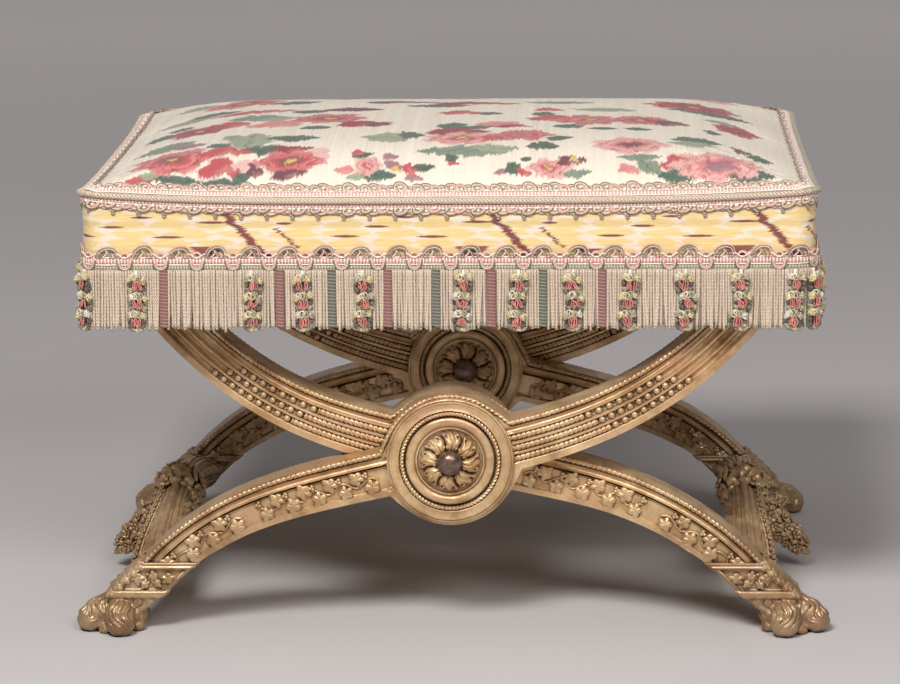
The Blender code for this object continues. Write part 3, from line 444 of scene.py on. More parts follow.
def gilt_finish():
    """Old water gilding: mottled gold with painted shade in recesses, rubbed to red bole on edges, darker near the
    floor with dust and painted shade.
    """
    finish = Finish("gilt", metallic=0.45, Specular_IOR_Level=0.6)
    mottle = finish.noise(34.0, 5.0, 0.62)
    base = finish.ramp(mottle, (0.34, GOLD_DEEP), (0.50, GOLD_MIDDLE), (0.68, GOLD_LIGHT))
    patches = finish.ramp(finish.noise(9.0, 3.0), (0.45, 0.0), (0.70, 1.0))
    base = finish.mix(patches, base, finish.mix(0.35, base, GOLD_DEEP))
    rosy = finish.ramp(finish.noise(17.0, 4.0, 0.6), (0.50, 0.0), (0.72, 0.55))
    base = finish.mix(rosy, base, GOLD_ROSY)
    specks = finish.ramp(finish.noise(230.0, 4.0, 0.7), (0.57, 0.0), (0.68, 0.5))
    base = finish.mix(specks, base, GOLD_DEEP)
    # Painted shade: the gold darkens towards GOLD_SHADE where ambient occlusion finds a sheltered recess.
    shelter = finish.node("AmbientOcclusion", {"Distance": 0.006}, samples=8).outputs["AO"]
    painted_recess_shade = finish.ramp(shelter, (0.16, 1.0), (0.70, 0.0))
    base = finish.mix(painted_recess_shade, base, GOLD_SHADE)
    point = finish.node("NewGeometry").outputs["Pointiness"]
    edge = finish.ramp(point, (0.51, 0.0), (0.60, 1.0))
    rubbed = finish.ramp(finish.noise(70.0, 4.0, 0.6), (0.50, 0.0), (0.66, 1.0))
    base = finish.mix(finish.calc("MULTIPLY", edge, rubbed), base, BOLE)
    # Darker towards the floor: partly dust, partly painted shade of the low parts under the seat.
    height = finish.node("SeparateXYZ", {"Vector": finish.place}).outputs["Z"]
    low_dust_and_shade = finish.ramp(finish.calc("MULTIPLY", height, 5.0), (0.09, LOW_DUST_AND_SHADE), (0.74, (1.0, 1.0, 1.0)))
    base = finish.mix(1.0, base, low_dust_and_shade, "MULTIPLY")
    relief = finish.sum(finish.noise(140.0, 3.0), finish.noise(620.0, 3.0), 0.25)
    gloss = finish.ramp(finish.noise(90.0, 3.0), (0.35, 0.30), (0.70, 0.54))
    return finish.done(base, relief, 0.0009, 0.6, gloss)


def iron_finish():
    finish = Finish("dark_iron", metallic=0.7)
    base = finish.ramp(finish.noise(160.0, 4.0), (0.35, IRON_DARK), (0.65, IRON_LIGHT))
    gloss = finish.ramp(finish.noise(300.0, 3.0), (0.30, 0.26), (0.70, 0.44))
    return finish.done(base, finish.noise(500.0, 3.0), 0.0003, 0.4, gloss)


def wood_finish():
    finish = Finish("beech_wood", roughness=0.6)
    grain = finish.noise(30.0, 6.0, 0.6, stretch=(0.25, 2.5, 2.5))
    base = finish.ramp(grain, (0.35, BEECH_DARK), (0.65, BEECH_LIGHT))
    return finish.done(base, finish.noise(220.0, 3.0, stretch=(0.1, 2.0, 2.0)), 0.0003, 0.4)


def cloth_finish(name, first, second, thread=0.0008):
    """A plain woven cloth: crossing threads over a slightly uneven colour."""
    finish = Finish(name, roughness=0.85, Sheen_Weight=0.2)
    inputs = {"Vector": finish.place, "Scale": 1 / thread / 3.2}
    along, over = (finish.node("TexWave", inputs, bands_direction=axis).outputs["Fac"] for axis in "XY")
    base = finish.ramp(finish.noise(45.0, 4.0), (0.35, first), (0.65, second))
    return finish.done(base, finish.sum(along, over), 0.0002, 0.5)


def hair_finish():
    finish = Finish("hair", roughness=0.9)
    strands = finish.noise(160.0, 6.0, 0.7, stretch=(1.0, 0.3, 1.0))
    base = finish.ramp(strands, (0.35, HAIR_DARK), (0.70, HAIR_LIGHT))
    return finish.done(base, strands, 0.002, 0.8)


def silk_finish(name, thread_axis):
    """Silk whose colours lie on the mesh, with fine threads and slubs along one axis."""
    finish = Finish(name, roughness=0.46, Sheen_Weight=0.25, Sheen_Roughness=0.4)
    slim = {"X": (0.15, 3.0, 3.0), "Y": (3.0, 0.15, 3.0)}[thread_axis]
    streak = finish.noise(260.0, 3.0, 0.6, stretch=slim)
    shade = finish.ramp(streak, (0.30, 0.88), (0.70, 1.0))
    base = finish.mix(1.0, finish.painted(), shade, "MULTIPLY")
    return finish.done(base, streak, 0.00025, 0.45)


def yarn_finish(name):
    """Twisted silk yarn, coloured on the mesh, with painted shade in the grooves between the turns, which lie on the
    mesh as well.
    """
    finish = Finish(name, roughness=0.62, Sheen_Weight=0.3, Sheen_Roughness=0.5)
    fluff = finish.noise(1400.0, 2.0)
    shade = finish.ramp(fluff, (0.30, 0.84), (0.70, 1.0))
    twist = finish.node("Attribute", attribute_name="twist").outputs["Fac"]
    ridge = finish.calc("COSINE", finish.calc("MULTIPLY", twist, math.tau))
    # Painted shade: the colour darkens to 0.62 in the grooves between the twist's turns.
    painted_groove_shade = finish.ramp(finish.sum(0.5, ridge, 0.5), (0.0, 0.62), (0.45, 1.0))
    base = finish.mix(1.0, finish.mix(1.0, finish.painted(), shade, "MULTIPLY"), painted_groove_shade, "MULTIPLY")
    return finish.done(base, finish.sum(fluff, ridge, 0.8), 0.0003, 0.7)


GILT = gilt_finish()
IRON = iron_finish()
BEECH = wood_finish()
WEBBING = cloth_finish("jute_webbing", JUTE_DARK, JUTE_LIGHT, 0.002)
LINEN = cloth_finish("plain_linen", LINEN_DARK, LINEN_LIGHT)
HAIR = hair_finish()
TOP_SILK = silk_finish("top_silk", "Y")
SIDE_SILK = silk_finish("side_silk", "X")
YARN = yarn_finish("yarn")


# Crossed frames

def bar_height(x):
    arm = ARM_CURL * (np.maximum(x, 0.0) / ARM_REACH) ** ARM_CURVE
    leg = LEG_CURL * (np.maximum(-x, 0.0) / LEG_REACH) ** LEG_CURVE
    return HUB_HEIGHT + CROSS_SLOPE * x + arm - leg


def bar_tangent(x):
    step = 1e-4
    rise = (bar_height(x + step) - bar_height(x - step)) / (2 * step)
    size = np.hypot(1.0, rise)
    return 1 / size, rise / size


def find_leg_end():
    near, far = 0.0, LEG_REACH * 1.5
    for _ in range(40):
        middle = (near + far) / 2
        if bar_height(-middle) > COLLAR_HEIGHT:
            near = middle
        else:
            far = middle
    return near


LEG_END = find_leg_end()


def plain_half(x):
    arm = ARM_WIDTH_HUB + (ARM_WIDTH_TOP - ARM_WIDTH_HUB) * np.maximum(x, 0) / ARM_REACH
    leg = LEG_WIDTH_HUB + (LEG_WIDTH_FOOT - LEG_WIDTH_HUB) * np.maximum(-x, 0) / LEG_END
    return np.where(x >= 0, arm, leg) / 2


def bar_half(x):
    along = np.abs(x) * SLANT
    hub = np.sqrt(np.maximum(HUB_RADIUS ** 2 - along ** 2, 0.0))
    plain = plain_half(x)
    share = np.clip(0.5 + 0.5 * (plain - hub) / HUB_BLEND, 0, 1)
    return hub + (plain - hub) * share + HUB_BLEND * share * (1 - share)


def inner_set_back(x):
    arm = CROSS_SET_BACK + (TOP_SET_BACK - CROSS_SET_BACK) * ease(x, HUB_RADIUS * 2, ARM_REACH)
    leg = CROSS_SET_BACK * (1 - ease(-x, HUB_RADIUS * 2, LEG_END))
    return np.where(x >= 0, arm, leg)


def no_set_back(x):
    return np.zeros_like(np.asarray(x, float))


END_BLEND = 0.045  # over how much of a bar its square sections turn level with its end


def bar_plane(x, offset):
    """Place across the stool and height of a point of a bar, at an offset from its centre line."""
    x = np.asarray(x, float)
    shares = offset / bar_half(x)
    along_x, along_z = bar_tangent(x)
    place = x - along_z * offset
    height = bar_height(x) + along_x * offset
    for end, level, sign in ((ARM_REACH, ARM_END_HEIGHT, 1), (-LEG_END, COLLAR_HEIGHT + CLEARANCE, -1)):
        end = np.float64(end)
        turn_x, turn_z = bar_tangent(end)
        last = bar_height(end) + turn_x * shares * bar_half(end)
        travel = (level - last) / turn_z
        share = ease(sign * x, sign * end - END_BLEND, sign * end)
        place = place + along_x * travel * share
        height = height + along_z * travel * share
    return place, height


def grooves(t, cuts):
    """Depth of round grooves across a face, each cut being (start, end, depth)."""
    depth = np.zeros_like(t)
    for start, end, deep in cuts:
        q = np.clip((t - start) / (end - start), 0, 1)
        depth = np.maximum(depth, deep * np.sin(math.pi * q) ** 0.6)
    return depth


ARM_CUTS = ((0.135, 0.240, 0.0026), (0.275, 0.43, 0.0038), (0.485, 0.64, 0.0038), (0.695, 0.85, 0.0038))
CHANNEL_MIDDLES = (0.3525, 0.5625, 0.7725)
COVE_CUTS = ((0.145, 0.285, 0.0028), (0.298, 0.345, 0.0036))
PANEL_TOP = 0.355
PANEL_BOTTOM = 0.86
PANEL_DEPTH = 0.0034
LEDGE = 0.0055  # width of the sunk edge that the fine rope lies on
LEDGE_DEPTH = 0.0024
CARVE_START = 0.0495  # from the middle of the hub, where the medallion covers the face
CARVE_FULL = 0.0545
FACE_COLUMNS = 100


def carving(x, offset):
    """Depth of the mouldings below a bar's face."""
    t = (1 - offset / plain_half(x)) / 2
    arm = grooves(t, ARM_CUTS)
    panel = PANEL_DEPTH * ease(t, PANEL_TOP - 0.02, PANEL_TOP + 0.02)
    panel = panel * (1 - ease(t, PANEL_BOTTOM - 0.02, PANEL_BOTTOM + 0.02))
    leg = np.maximum(grooves(t, COVE_CUTS), panel)
    depth = np.where(x >= 0, arm, leg)
    radius = np.hypot(offset, x * SLANT)
    depth = depth * ease(radius, CARVE_START, CARVE_FULL)
    edge = bar_half(x) - offset
    return np.maximum(depth, LEDGE_DEPTH * (1 - ease(edge, LEDGE - 0.0006, LEDGE + 0.0004)))


class Bar:
    """One curved bar of a crossed frame, which places points of its own faces in the scene."""

    def __init__(self, name, mirror, set_back, back):
        self.name = name
        self.mirror = mirror
        self.set_back = set_back
        self.back = back

    def place(self, x, offset, depth, face):
        """Points at a depth under the outer (-1) or the inner (1) face."""
        x = np.asarray(x, float)
        offset = np.broadcast_to(np.asarray(offset, float), x.shape)
        across, height = bar_plane(x, offset)
        front = FRONT_FACE + self.set_back(x)
        y = front + depth if face < 0 else front + BAR_THICKNESS - depth
        return np.stack([-across if self.mirror else across, -y if self.back else y, height], -1)

    def outward(self, face):
        return np.array([0.0, face * (-1 if self.back else 1), 0.0])

    def stations(self):
        leg = np.linspace(-LEG_END, -HUB_RADIUS * 1.3, 80, endpoint=False)
        hub = np.linspace(-HUB_RADIUS * 1.3, HUB_RADIUS * 1.3, 90, endpoint=False)
        arm = np.linspace(HUB_RADIUS * 1.3, ARM_REACH, 86)
        return np.concatenate([leg, hub, arm])

    def hand(self, face):
        """Which way the ropes of a face turn, so that the crossed bars mirror each other."""
        return face if not self.mirror else -face

    def body(self):
        """The moulded bar itself, as one closed skin."""
        x = self.stations()[:, None]
        offset = np.linspace(1, -1, FACE_COLUMNS)[None, :] * bar_half(x)
        x = np.broadcast_to(x, offset.shape)
        depth = carving(x, offset)
        front = self.place(x, offset, depth, -1)
        rear = self.place(x, offset[:, ::-1], depth[:, ::-1], 1)
        shares = np.array([0.04, 0.35, 0.65, 0.96])[None, :, None]
        lower, upper = (
            first[:, None] * (1 - shares) + second[:, None] * shares
            for first, second in ((front[:, -1], rear[:, 0]), (rear[:, -1], front[:, 0]))
        )
        points = np.concatenate([front, lower, rear, upper], axis=1)
        faces = skin_faces(*points.shape[:2])
        return points.reshape(-1, 3), faces[:, ::-1] if self.mirror == self.back else faces


def housing(points, bar):
    """Moves the inner bar's points back from the outer bar that is halved into it."""
    sign = -1 if bar.back else 1
    x = points[:, 0]
    along_x, along_z = bar_tangent(x)
    across = (points[:, 2] - bar_height(x)) * along_x
    inside = np.abs(across) < bar_half(x + along_z * across) - 0.001
    inside &= np.abs(x) < HUB_RADIUS * 2.6
    back_of_outer = FRONT_FACE + BAR_THICKNESS + CLEARANCE
    y = points[:, 1] * sign
    y = np.where(inside, np.maximum(y, back_of_outer), y)
    points[:, 1] = y * sign
    return points


ROPE_ENDS = (0.122, 0.131, 0.139)
PEARL_ENDS = (0.190, 0.198, 0.206)
CHANNEL_ROPE_RADIUS = 0.0031
CHANNEL_ROPE_PITCH = 0.0045
PEARL_RADIUS = 0.0033
PEARL_PITCH = 0.0096
BEAD_RADIUS = 0.0010
FINE_ROPE_RADIUS = 0.0025
FINE_ROPE_PITCH = 0.0047


def beside(x, share):
    """Offset from a bar's centre line, at a share of its width down from its upper edge."""
    return plain_half(x) * (1 - 2 * share)


def arm_carving(form, bar, face):
    """The ropes and strings of pearls in an arm's three channels."""
    out = bar.outward(face)
    for middle, rope_end, pearl_end in zip(CHANNEL_MIDDLES, ROPE_ENDS, PEARL_ENDS):
        x = np.linspace(HUB_RADIUS * 0.6, rope_end, 120)
        offset = beside(x, middle)
        outside = np.hypot(offset, x * SLANT) > MEDALLION_RADIUS - 0.002
        path = bar.place(x[outside], offset[outside], 0.0019, face)
        path = resample(path, CHANNEL_ROPE_PITCH / 8)
        form.add(*rope(path, CHANNEL_ROPE_RADIUS, CHANNEL_ROPE_PITCH, out, 16, 3, 0.42, bar.hand(face)))
        x = np.linspace(rope_end + 0.004, pearl_end, 80)
        pearls = resample(bar.place(x, beside(x, middle), 0.0018, face), PEARL_PITCH)
        for pearl in pearls:
            form.add(*ball(pearl, PEARL_RADIUS, 3))
        gaps = (pearls[1:] + pearls[:-1]) / 2
        aside = np.cross(unit(np.diff(pearls, axis=0)), out)
        for gap, step in zip(gaps, aside):
            for sign in (-1, 1):
                form.add(*ball(gap + step * sign * 0.0019 - out * 0.0006, BEAD_RADIUS, 2))


def edge_rope(form, bar, face):
    """The fine rope along the upper edge of a face, from the foot over the hub to the seat."""
    x = np.linspace(-LEG_END, ARM_REACH, 500)
    path = bar.place(x, bar_half(x) - FINE_ROPE_RADIUS + 0.0002, 0.0011, face)
    path = resample(path, FINE_ROPE_PITCH / 8)
    form.add(*rope(path, FINE_ROPE_RADIUS, FINE_ROPE_PITCH, bar.outward(face), 10, 2, 0.50, bar.hand(face)))


LEAF_LOBES = 5


def leaf_patch(length, width, rise, curl, rings=7, steps=40):
    """A pointed, lobed leaf in its own plane: x along it, y across it and z out of the wood."""
    angle = ring_angles(steps)
    away = np.abs((LEAF_LOBES * angle / math.tau + 0.5) % 1.0 - 0.5)
    lobe = 0.76 + 0.24 * (1 - 2 * away) ** 1.1
    lobe = lobe * (1 + 0.14 * np.exp(-(((angle + math.pi) % math.tau - math.pi) / 0.30) ** 2))
    lobe = lobe * (1 - 0.34 * np.exp(-((angle - math.pi) / 0.40) ** 2))
    share = np.linspace(0.04, 1.0, rings)[:, None]
    x = share * lobe * np.cos(angle) * length / 2
    y = share * lobe * np.sin(angle) * width / 2
    vein = np.exp(-(away / 0.045) ** 2) * (share > 0.1)
    z = rise * (1 - 0.45 * share ** 2.5) * (1 - 0.30 * (2 * away) ** 2 * share)
    z = z - rise * 0.15 * vein + rise * curl * share ** 2 * np.cos(angle)
    z[-1] = -rise * 0.4
    points = np.stack([x, y, z], -1)
    return points.reshape(-1, 3), np.concatenate([grid_faces(rings, steps, wrap=True), cap_faces(steps)[:, ::-1]])


IVY_RUNS = ((-0.066, -0.174), (-0.190, -0.262))
IVY_PITCH = 0.0128
LEAF_LENGTH = 0.0182


def ivy(form, bar, face):
    """Two sprays of ivy with berries in the panel of a leg."""
    out = bar.outward(face)
    middle = (PANEL_TOP + PANEL_BOTTOM) / 2
    for start, end in IVY_RUNS:
        x = np.linspace(start, end, 90)
        wave = 0.14 * np.sin((x - start) / IVY_PITCH * math.pi)
        stem = bar.place(x, beside(x, middle + wave * 0.6), PANEL_DEPTH - 0.0006, face)
        form.add(*tube(resample(stem, 0.0012), 0.0012, 8, out))
        count = int(abs(end - start) / IVY_PITCH) + 1
        for i in range(count):
            where = start + (end - start) * (i + 0.5) / count
            side = 1 if i % 2 else -1
            spot = np.array([where])
            offset = beside(spot, middle - side * 0.115)
            place = bar.place(spot, offset, PANEL_DEPTH - 0.0004, face)[0]
            ahead = unit(bar.place(spot - 0.001, offset, PANEL_DEPTH - 0.0004, face)[0] - place)
            aside = np.cross(out, ahead)
            size = LEAF_LENGTH * (0.95 + 0.15 * rng.random())
            lean = side * (0.7 + 0.5 * rng.random()) * (1 if aside[2] > 0 else -1)
            first = ahead * math.cos(lean) + aside * math.sin(lean)
            form.add(*laid(leaf_patch(size, size * 0.90, 0.0038, 0.3 * rng.random()), first, out, place))
            if i % 2 == 0:
                spot = np.array([where - 0.35 * IVY_PITCH])
                place = bar.place(spot, beside(spot, middle + side * 0.17), PANEL_DEPTH - 0.0010, face)[0]
                for turn in ring_angles(3):
                    berry = place + (ahead * math.cos(turn) + aside * math.sin(turn)) * 0.0016
                    form.add(*ball(berry + out * 0.0008, 0.0019, 3))


def make_bars():
    for end, back in (("front", False), ("back", True)):
        for where, mirror, set_back in (("outer", False, no_set_back), ("inner", True, inner_set_back)):
            bar = Bar(f"{end}_{where}_bar", mirror, set_back, back)
            points, faces = bar.body()
            if mirror:
                points = housing(points, bar)
            form = Form()
            form.add(points, faces)
            form.make(f"{bar.name}_moulded", GILT, [bar.name], sharp=48)
            carved = Form()
            for face in (-1, 1):
                arm_carving(carved, bar, face)
                edge_rope(carved, bar, face)
                ivy(carved, bar, face)
            carved.make(f"{bar.name}_carving", GILT)


# Medallions

# The discs' skin, as (radius, height) in millimetres
DISC_PROFILE = (
    (57.0, 0.0), (57.0, 3.2), (56.7, 4.2), (56.0, 4.8), (55.3, 4.9), (54.9, 4.2), (54.4, 4.2), (54.1, 5.2),
    (53.3, 5.5), (52.7, 5.4), (52.4, 4.8), (51.8, 4.7), (49.0, 4.8), (47.4, 5.3), (46.4, 5.7), (45.9, 5.4),
    (45.6, 4.0), (44.6, 3.0), (41.6, 2.6), (41.2, 1.2), (40.2, 1.0), (39.9, 3.8), (39.6, 4.9), (38.8, 5.7),
    (37.2, 6.2), (35.2, 6.2), (33.4, 5.6), (32.2, 4.6), (31.8, 3.6), (31.4, 3.6), (31.1, 4.6), (30.5, 5.2),
    (29.7, 5.1), (29.3, 4.4), (29.1, 3.0), (28.8, 1.8), (20.0, 1.7), (5.4, 1.7), (5.4, 0.0),
)
DISC_ROPE_RADIUS = 0.0434
DISC_ROPE_THICKNESS = 0.0021
DISC_ROPE_PITCH = 0.0034
DISC_ROPE_LIFT = 0.0046
PETALS = 8
ROSETTE_RADIUS = 0.0278
ROSETTE_HEIGHT = 0.0092
ROSETTE_HOLE = 0.0070
ROSETTE_RINGS = 56
PETAL_STEPS = 44


def make_medallion(name, face, outward):
    """A turned disc with a rope ring round its hollow."""
    form = Form()
    scale = MEDALLION_RADIUS / DISC_PROFILE[0][0]
    profile = [(radius * scale, height * 0.001) for radius, height in DISC_PROFILE]
    form.add(*turned(profile, (0, face, HUB_HEIGHT), outward, 144))
    turns = round(math.tau * DISC_ROPE_RADIUS / DISC_ROPE_PITCH)
    angle = ring_angles(turns * 8)
    path = np.stack([
        DISC_ROPE_RADIUS * np.cos(angle),
        np.full_like(angle, face + outward * DISC_ROPE_LIFT),
        HUB_HEIGHT + DISC_ROPE_RADIUS * np.sin(angle),
    ], -1)
    pitch = math.tau * DISC_ROPE_RADIUS / turns
    form.add(*rope(path, DISC_ROPE_THICKNESS, pitch, (0, 1, 0), 12, 2, 0.55, closed=True))
    form.make(f"{name}_turned", GILT, [name], sharp=50)


def make_rosette(name, face, outward):
    """A flower of eight puffy petals with lobed and drilled tips, which curl over from the bolt's boss."""
    radii = np.linspace(ROSETTE_HOLE, ROSETTE_RADIUS, ROSETTE_RINGS)[:, None]
    steps = PETALS * PETAL_STEPS
    angle = ring_angles(steps)[None, :]
    reach = (radii - ROSETTE_HOLE) / (ROSETTE_RADIUS - ROSETTE_HOLE)
    lean = 0.16 * np.sin(math.pi * reach)
    turn = ((angle + lean) * PETALS / math.tau + 0.5) % 1.0 - 0.5
    aside = np.abs(turn) * 2
    puff = np.sqrt(np.clip(1 - (aside / 0.97) ** 2.4, 0, 1))
    hump = np.sin(math.pi * np.clip(0.10 + 0.88 * reach, 0, 1)) ** 0.6
    tips = 0.5 + 0.5 * np.cos(math.tau * turn * 3)
    height = ROSETTE_HEIGHT * hump * (0.22 + 0.78 * puff)
    height = height - 0.0019 * ease(reach, 0.45, 0.8) * (1 - tips) * (aside < 0.9)
    vein = np.exp(-(aside / 0.10) ** 2) * ease(reach, 0.10, 0.25) * (1 - ease(reach, 0.55, 0.75))
    height = height - 0.0012 * vein
    eye = np.hypot((aside - 1.0) * (radii / ROSETTE_RADIUS) * 10.5, (reach - 0.30) * 13)
    hole = np.hypot((aside - 0.56) * (radii / ROSETTE_RADIUS) * 11, (reach - 0.80) * 12)
    height = height + 0.0042 * np.exp(-(eye / 1.35) ** 4) - 0.0040 * np.exp(-(eye / 0.62) ** 4)
    height = height - 0.0030 * np.exp(-(hole / 0.75) ** 4)
    notch = 1 - 0.075 * (1 - tips) * reach ** 6 - 0.07 * (aside ** 6) * reach ** 6
    spread = radii * notch
    height = np.maximum(height, 0.0) * (1 - ease(reach, 0.94, 1.0)) + 0.0008
    points = np.stack([
        spread * np.cos(angle), face + outward * (0.0018 + height), HUB_HEIGHT + spread * np.sin(angle),
    ], -1)
    form = Form()
    form.add(points, grid_faces(len(radii), steps, wrap=True, flip=outward < 0))
    form.make(f"{name}_carved", GILT, [name], sharp=75)


# The domed heads' skin, in the same way
BOSS_PROFILE = (
    (11.0, 0.0), (11.2, 1.0), (11.3, 2.6), (11.0, 4.6), (10.2, 6.6), (9.0, 8.3), (7.3, 9.7), (5.2, 10.7),
    (3.0, 11.2), (1.0, 11.4), (0.05, 11.4),
)
BOSS_SHANK = 0.0052


def make_boss(name, node, outward):
    """The domed iron head of a bolt, or its nut."""
    low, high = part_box(node)
    foot = (low[1] if outward < 0 else high[1]) - outward * BOSS_PROFILE[-1][1] / 1000
    profile = [(radius / 1000, height / 1000) for radius, height in BOSS_PROFILE]
    profile = [(BOSS_SHANK, -0.004), (BOSS_SHANK, 0.0)] + profile
    form = Form()
    form.add(*turned(profile, (0, foot, HUB_HEIGHT), outward, 48))
    form.make(name, IRON, [node], sharp=60)


def make_medallions():
    for end, sign in (("front", 1), ("back", -1)):
        for where, face, outward in (("outer", FRONT_FACE - CLEARANCE, -sign), ("inner", INNER_DISC_FACE, sign)):
            make_medallion(f"{end}_{where}_medallion", sign * face, outward)
            make_rosette(f"{end}_{where}_rosette", sign * face, outward)
        make_boss(f"{end}_bolt_head", f"{end}_bolt", -sign)
        make_boss(f"{end}_nut_dome", f"{end}_cap_nut", sign)


# Feet

BLOCK_FOOT_HEIGHT = 0.033
COLLAR_LIP = 0.002
BLOCK_BAND = 0.005
PAW_HEIGHT = 0.038
SOLE_CUT = 0.0025
BLOCK_STEPS = 48
BLOCK_SQUARENESS = 14
# The toes: direction in degrees, size, and distance from the middle of the paw
TOES = ((200, 1.04, 0.0238), (276, 1.04, 0.0237), (238, 0.52, 0.0175), (330, 0.60, 0.0150))
TOE_REACH = 0.0237
TOE_LENGTH = 0.0325
TOE_HEIGHT = 0.030
FOOT_VOXEL = 0.00068


def block_centre(height):
    along_x, along_z = bar_tangent(np.float64(-LEG_END))
    return -(LEG_END + (COLLAR_HEIGHT - height) * along_x / along_z)


BLOCK_HALF = LEG_WIDTH_FOOT / 2 / bar_tangent(np.float64(-LEG_END))[1]
FOOT_MIDDLE_Y = FRONT_FACE + BAR_THICKNESS / 2
PAD = np.array([TOE_REACH + TOE_LENGTH / 2 - FOOT_SPAN / 2, FOOT_MIDDLE_Y, PAW_HEIGHT / 2 - SOLE_CUT])


# A toe's knuckle, tip and back: distance outward, lift, half sizes and fineness
TOE_PARTS = (
    (-0.004, 0.002, (0.0150, 0.0142, 0.0150), 6),
    (0.0042, -0.0018, (0.0120, 0.0132, 0.0122), 6),
    (-0.008, 0.010, (0.012, 0.0110, 0.0085), 4),
)


def foot_block():
    """The framed block between a leg and its paw, as rings of a rounded square."""
    half_y = BAR_THICKNESS / 2
    top = COLLAR_HEIGHT
    low = BLOCK_FOOT_HEIGHT
    lip = COLLAR_LIP
    levels = (
        (top, lip), (top - 0.0015, lip + 0.0004), (top - 0.0030, lip * 0.4), (top - 0.0042, lip),
        (top - BLOCK_BAND, lip), (top - BLOCK_BAND - lip, 0.0), (low + BLOCK_BAND + lip, 0.0),
        (low + BLOCK_BAND, lip), (low, lip), (low - lip, 0.0), (PAW_HEIGHT / 3, -0.003),
    )
    angle = math.tau * (np.arange(BLOCK_STEPS) + 0.5) / BLOCK_STEPS
    square = np.abs(np.cos(angle)) ** BLOCK_SQUARENESS + np.abs(np.sin(angle)) ** BLOCK_SQUARENESS
    square = square ** (-1 / BLOCK_SQUARENESS)
    points = []
    for height, out in levels:
        x = block_centre(height) + (BLOCK_HALF + out) * square * np.cos(angle)
        y = FOOT_MIDDLE_Y + (half_y + out) * square * np.sin(angle)
        points.append(np.stack([x, y, np.full_like(x, height)], -1))
    return np.concatenate(points), skin_faces(len(levels), BLOCK_STEPS)[:, ::-1]


def sculpt_foot(mesh):
    """Sinks the block's panels and cuts the fur into the paw."""
    points = mesh_points(mesh)
    normals = np.empty(points.size)
    mesh.vertex_normals.foreach_get("vector", normals)
    normals = normals.reshape(-1, 3)
    across = (points[:, 0] - block_centre(points[:, 2])) / (BLOCK_HALF - 0.0055)
    up = (points[:, 2] - (COLLAR_HEIGHT + BLOCK_FOOT_HEIGHT) / 2) / 0.0098
    inside = (1 - ease(np.abs(across), 0.93, 1.03)) * (1 - ease(np.abs(up), 0.90, 1.02))
    front = ease(np.abs(normals[:, 1]), 0.6, 0.9) * inside
    depth = front * 0.0030
    direction = np.arctan2(points[:, 1] - PAD[1], points[:, 0] - PAD[0])
    height = points[:, 2]
    below = ease(-height, -0.0345, -0.0290)
    swirl = direction + 0.16 * np.sin(height * 230 + 2.3 * direction) + 5.0 * (height - 0.02)
    locks = (1 - np.abs(np.sin(swirl * 12))) ** 1.5
    strands = (1 - np.abs(np.sin(swirl * 36 + 1.5 * np.sin(direction * 9)))) ** 1.5
    upper = 0.35 + 0.65 * ease(height, 0.006, 0.018)
    fur = below * upper * (0.0019 * locks + 0.0009 * strands)
    points = points - normals * (depth + fur)[:, None]
    points[:, 2] = np.maximum(points[:, 2], 0.0)
    mesh.vertices.foreach_set("co", points.ravel())
    mesh.update()


# The leaves of the sprig on a foot block: place across and up, lean in degrees, length
SPRIG_LEAVES = (
    (-0.0120, 0.0005, 165, 0.0175), (-0.0010, 0.0022, 100, 0.0145), (-0.0022, -0.0040, 235, 0.0130),
    (0.0068, -0.0030, -40, 0.0130), (0.0128, 0.0008, 12, 0.0175),
)
SPRIG_BERRIES = (
    (-0.0085, -0.0045), (-0.0095, 0.0050), (0.0, 0.0), (0.0090, 0.0050), (0.0085, -0.0052), (-0.0185, 0.0),
)


def foot_sprig():
    """Leaves and berries in the front panel of a foot block, its frame, and a leaf down its outer side."""
    form = Form()
    middle = (COLLAR_HEIGHT + BLOCK_FOOT_HEIGHT) / 2
    out = np.array([0.0, -1.0, 0.0])

    def at(across, up, depth):
        height = middle + up
        return np.array([block_centre(height) + across, FRONT_FACE + depth, height])

    for across, up, lean, size in SPRIG_LEAVES:
        turn = math.radians(lean)
        first = np.array([math.cos(turn), 0.0, math.sin(turn)])
        form.add(*laid(leaf_patch(size, size * 0.72, 0.0030, 0.3), first, out, at(across, up, 0.0026)))
    for across, up in SPRIG_BERRIES:
        form.add(*ball(at(across, up, 0.0018), 0.0017, 3))
    wide, tall = BLOCK_HALF - 0.0046, 0.0106
    frame = [at(across * wide, up * tall, 0.0002) for across, up in ((-1, -1), (1, -1), (1, 1), (-1, 1))]
    for first, second in zip(frame, frame[1:] + frame[:1]):
        form.add(*tube(np.stack([first, (first + second) / 2, second]), 0.0009, 8, out))
    slant = unit(at(0, tall, 0) - at(0, -tall, 0))
    outer = unit(np.cross(slant, (0.0, 1.0, 0.0)))
    spot = np.array([block_centre(middle) - BLOCK_HALF + 0.0006, FOOT_MIDDLE_Y, middle])
    form.add(*laid(leaf_patch(0.050, 0.034, 0.0046, -0.2, 9, 60), -slant, outer, spot))
    for row in range(5):
        for sign in (1, -1):
            y = FOOT_MIDDLE_Y - sign * (BAR_THICKNESS / 2 - 0.0030)
            near = unit(outer + np.array([0.0, -0.8 * sign, 0.0]))
            first = unit(-slant + np.array([0.0, -0.35 * sign, 0.0]))
            first = unit(first - near * first.dot(near))
            place = np.array([block_centre(middle) - BLOCK_HALF + 0.0016, y, middle])
            place = place + slant * (0.019 - 0.0092 * row) + near * 0.0006
            form.add(*laid(leaf_patch(0.0150, 0.0120, 0.0034, 0.5), first, near, place))
    return form


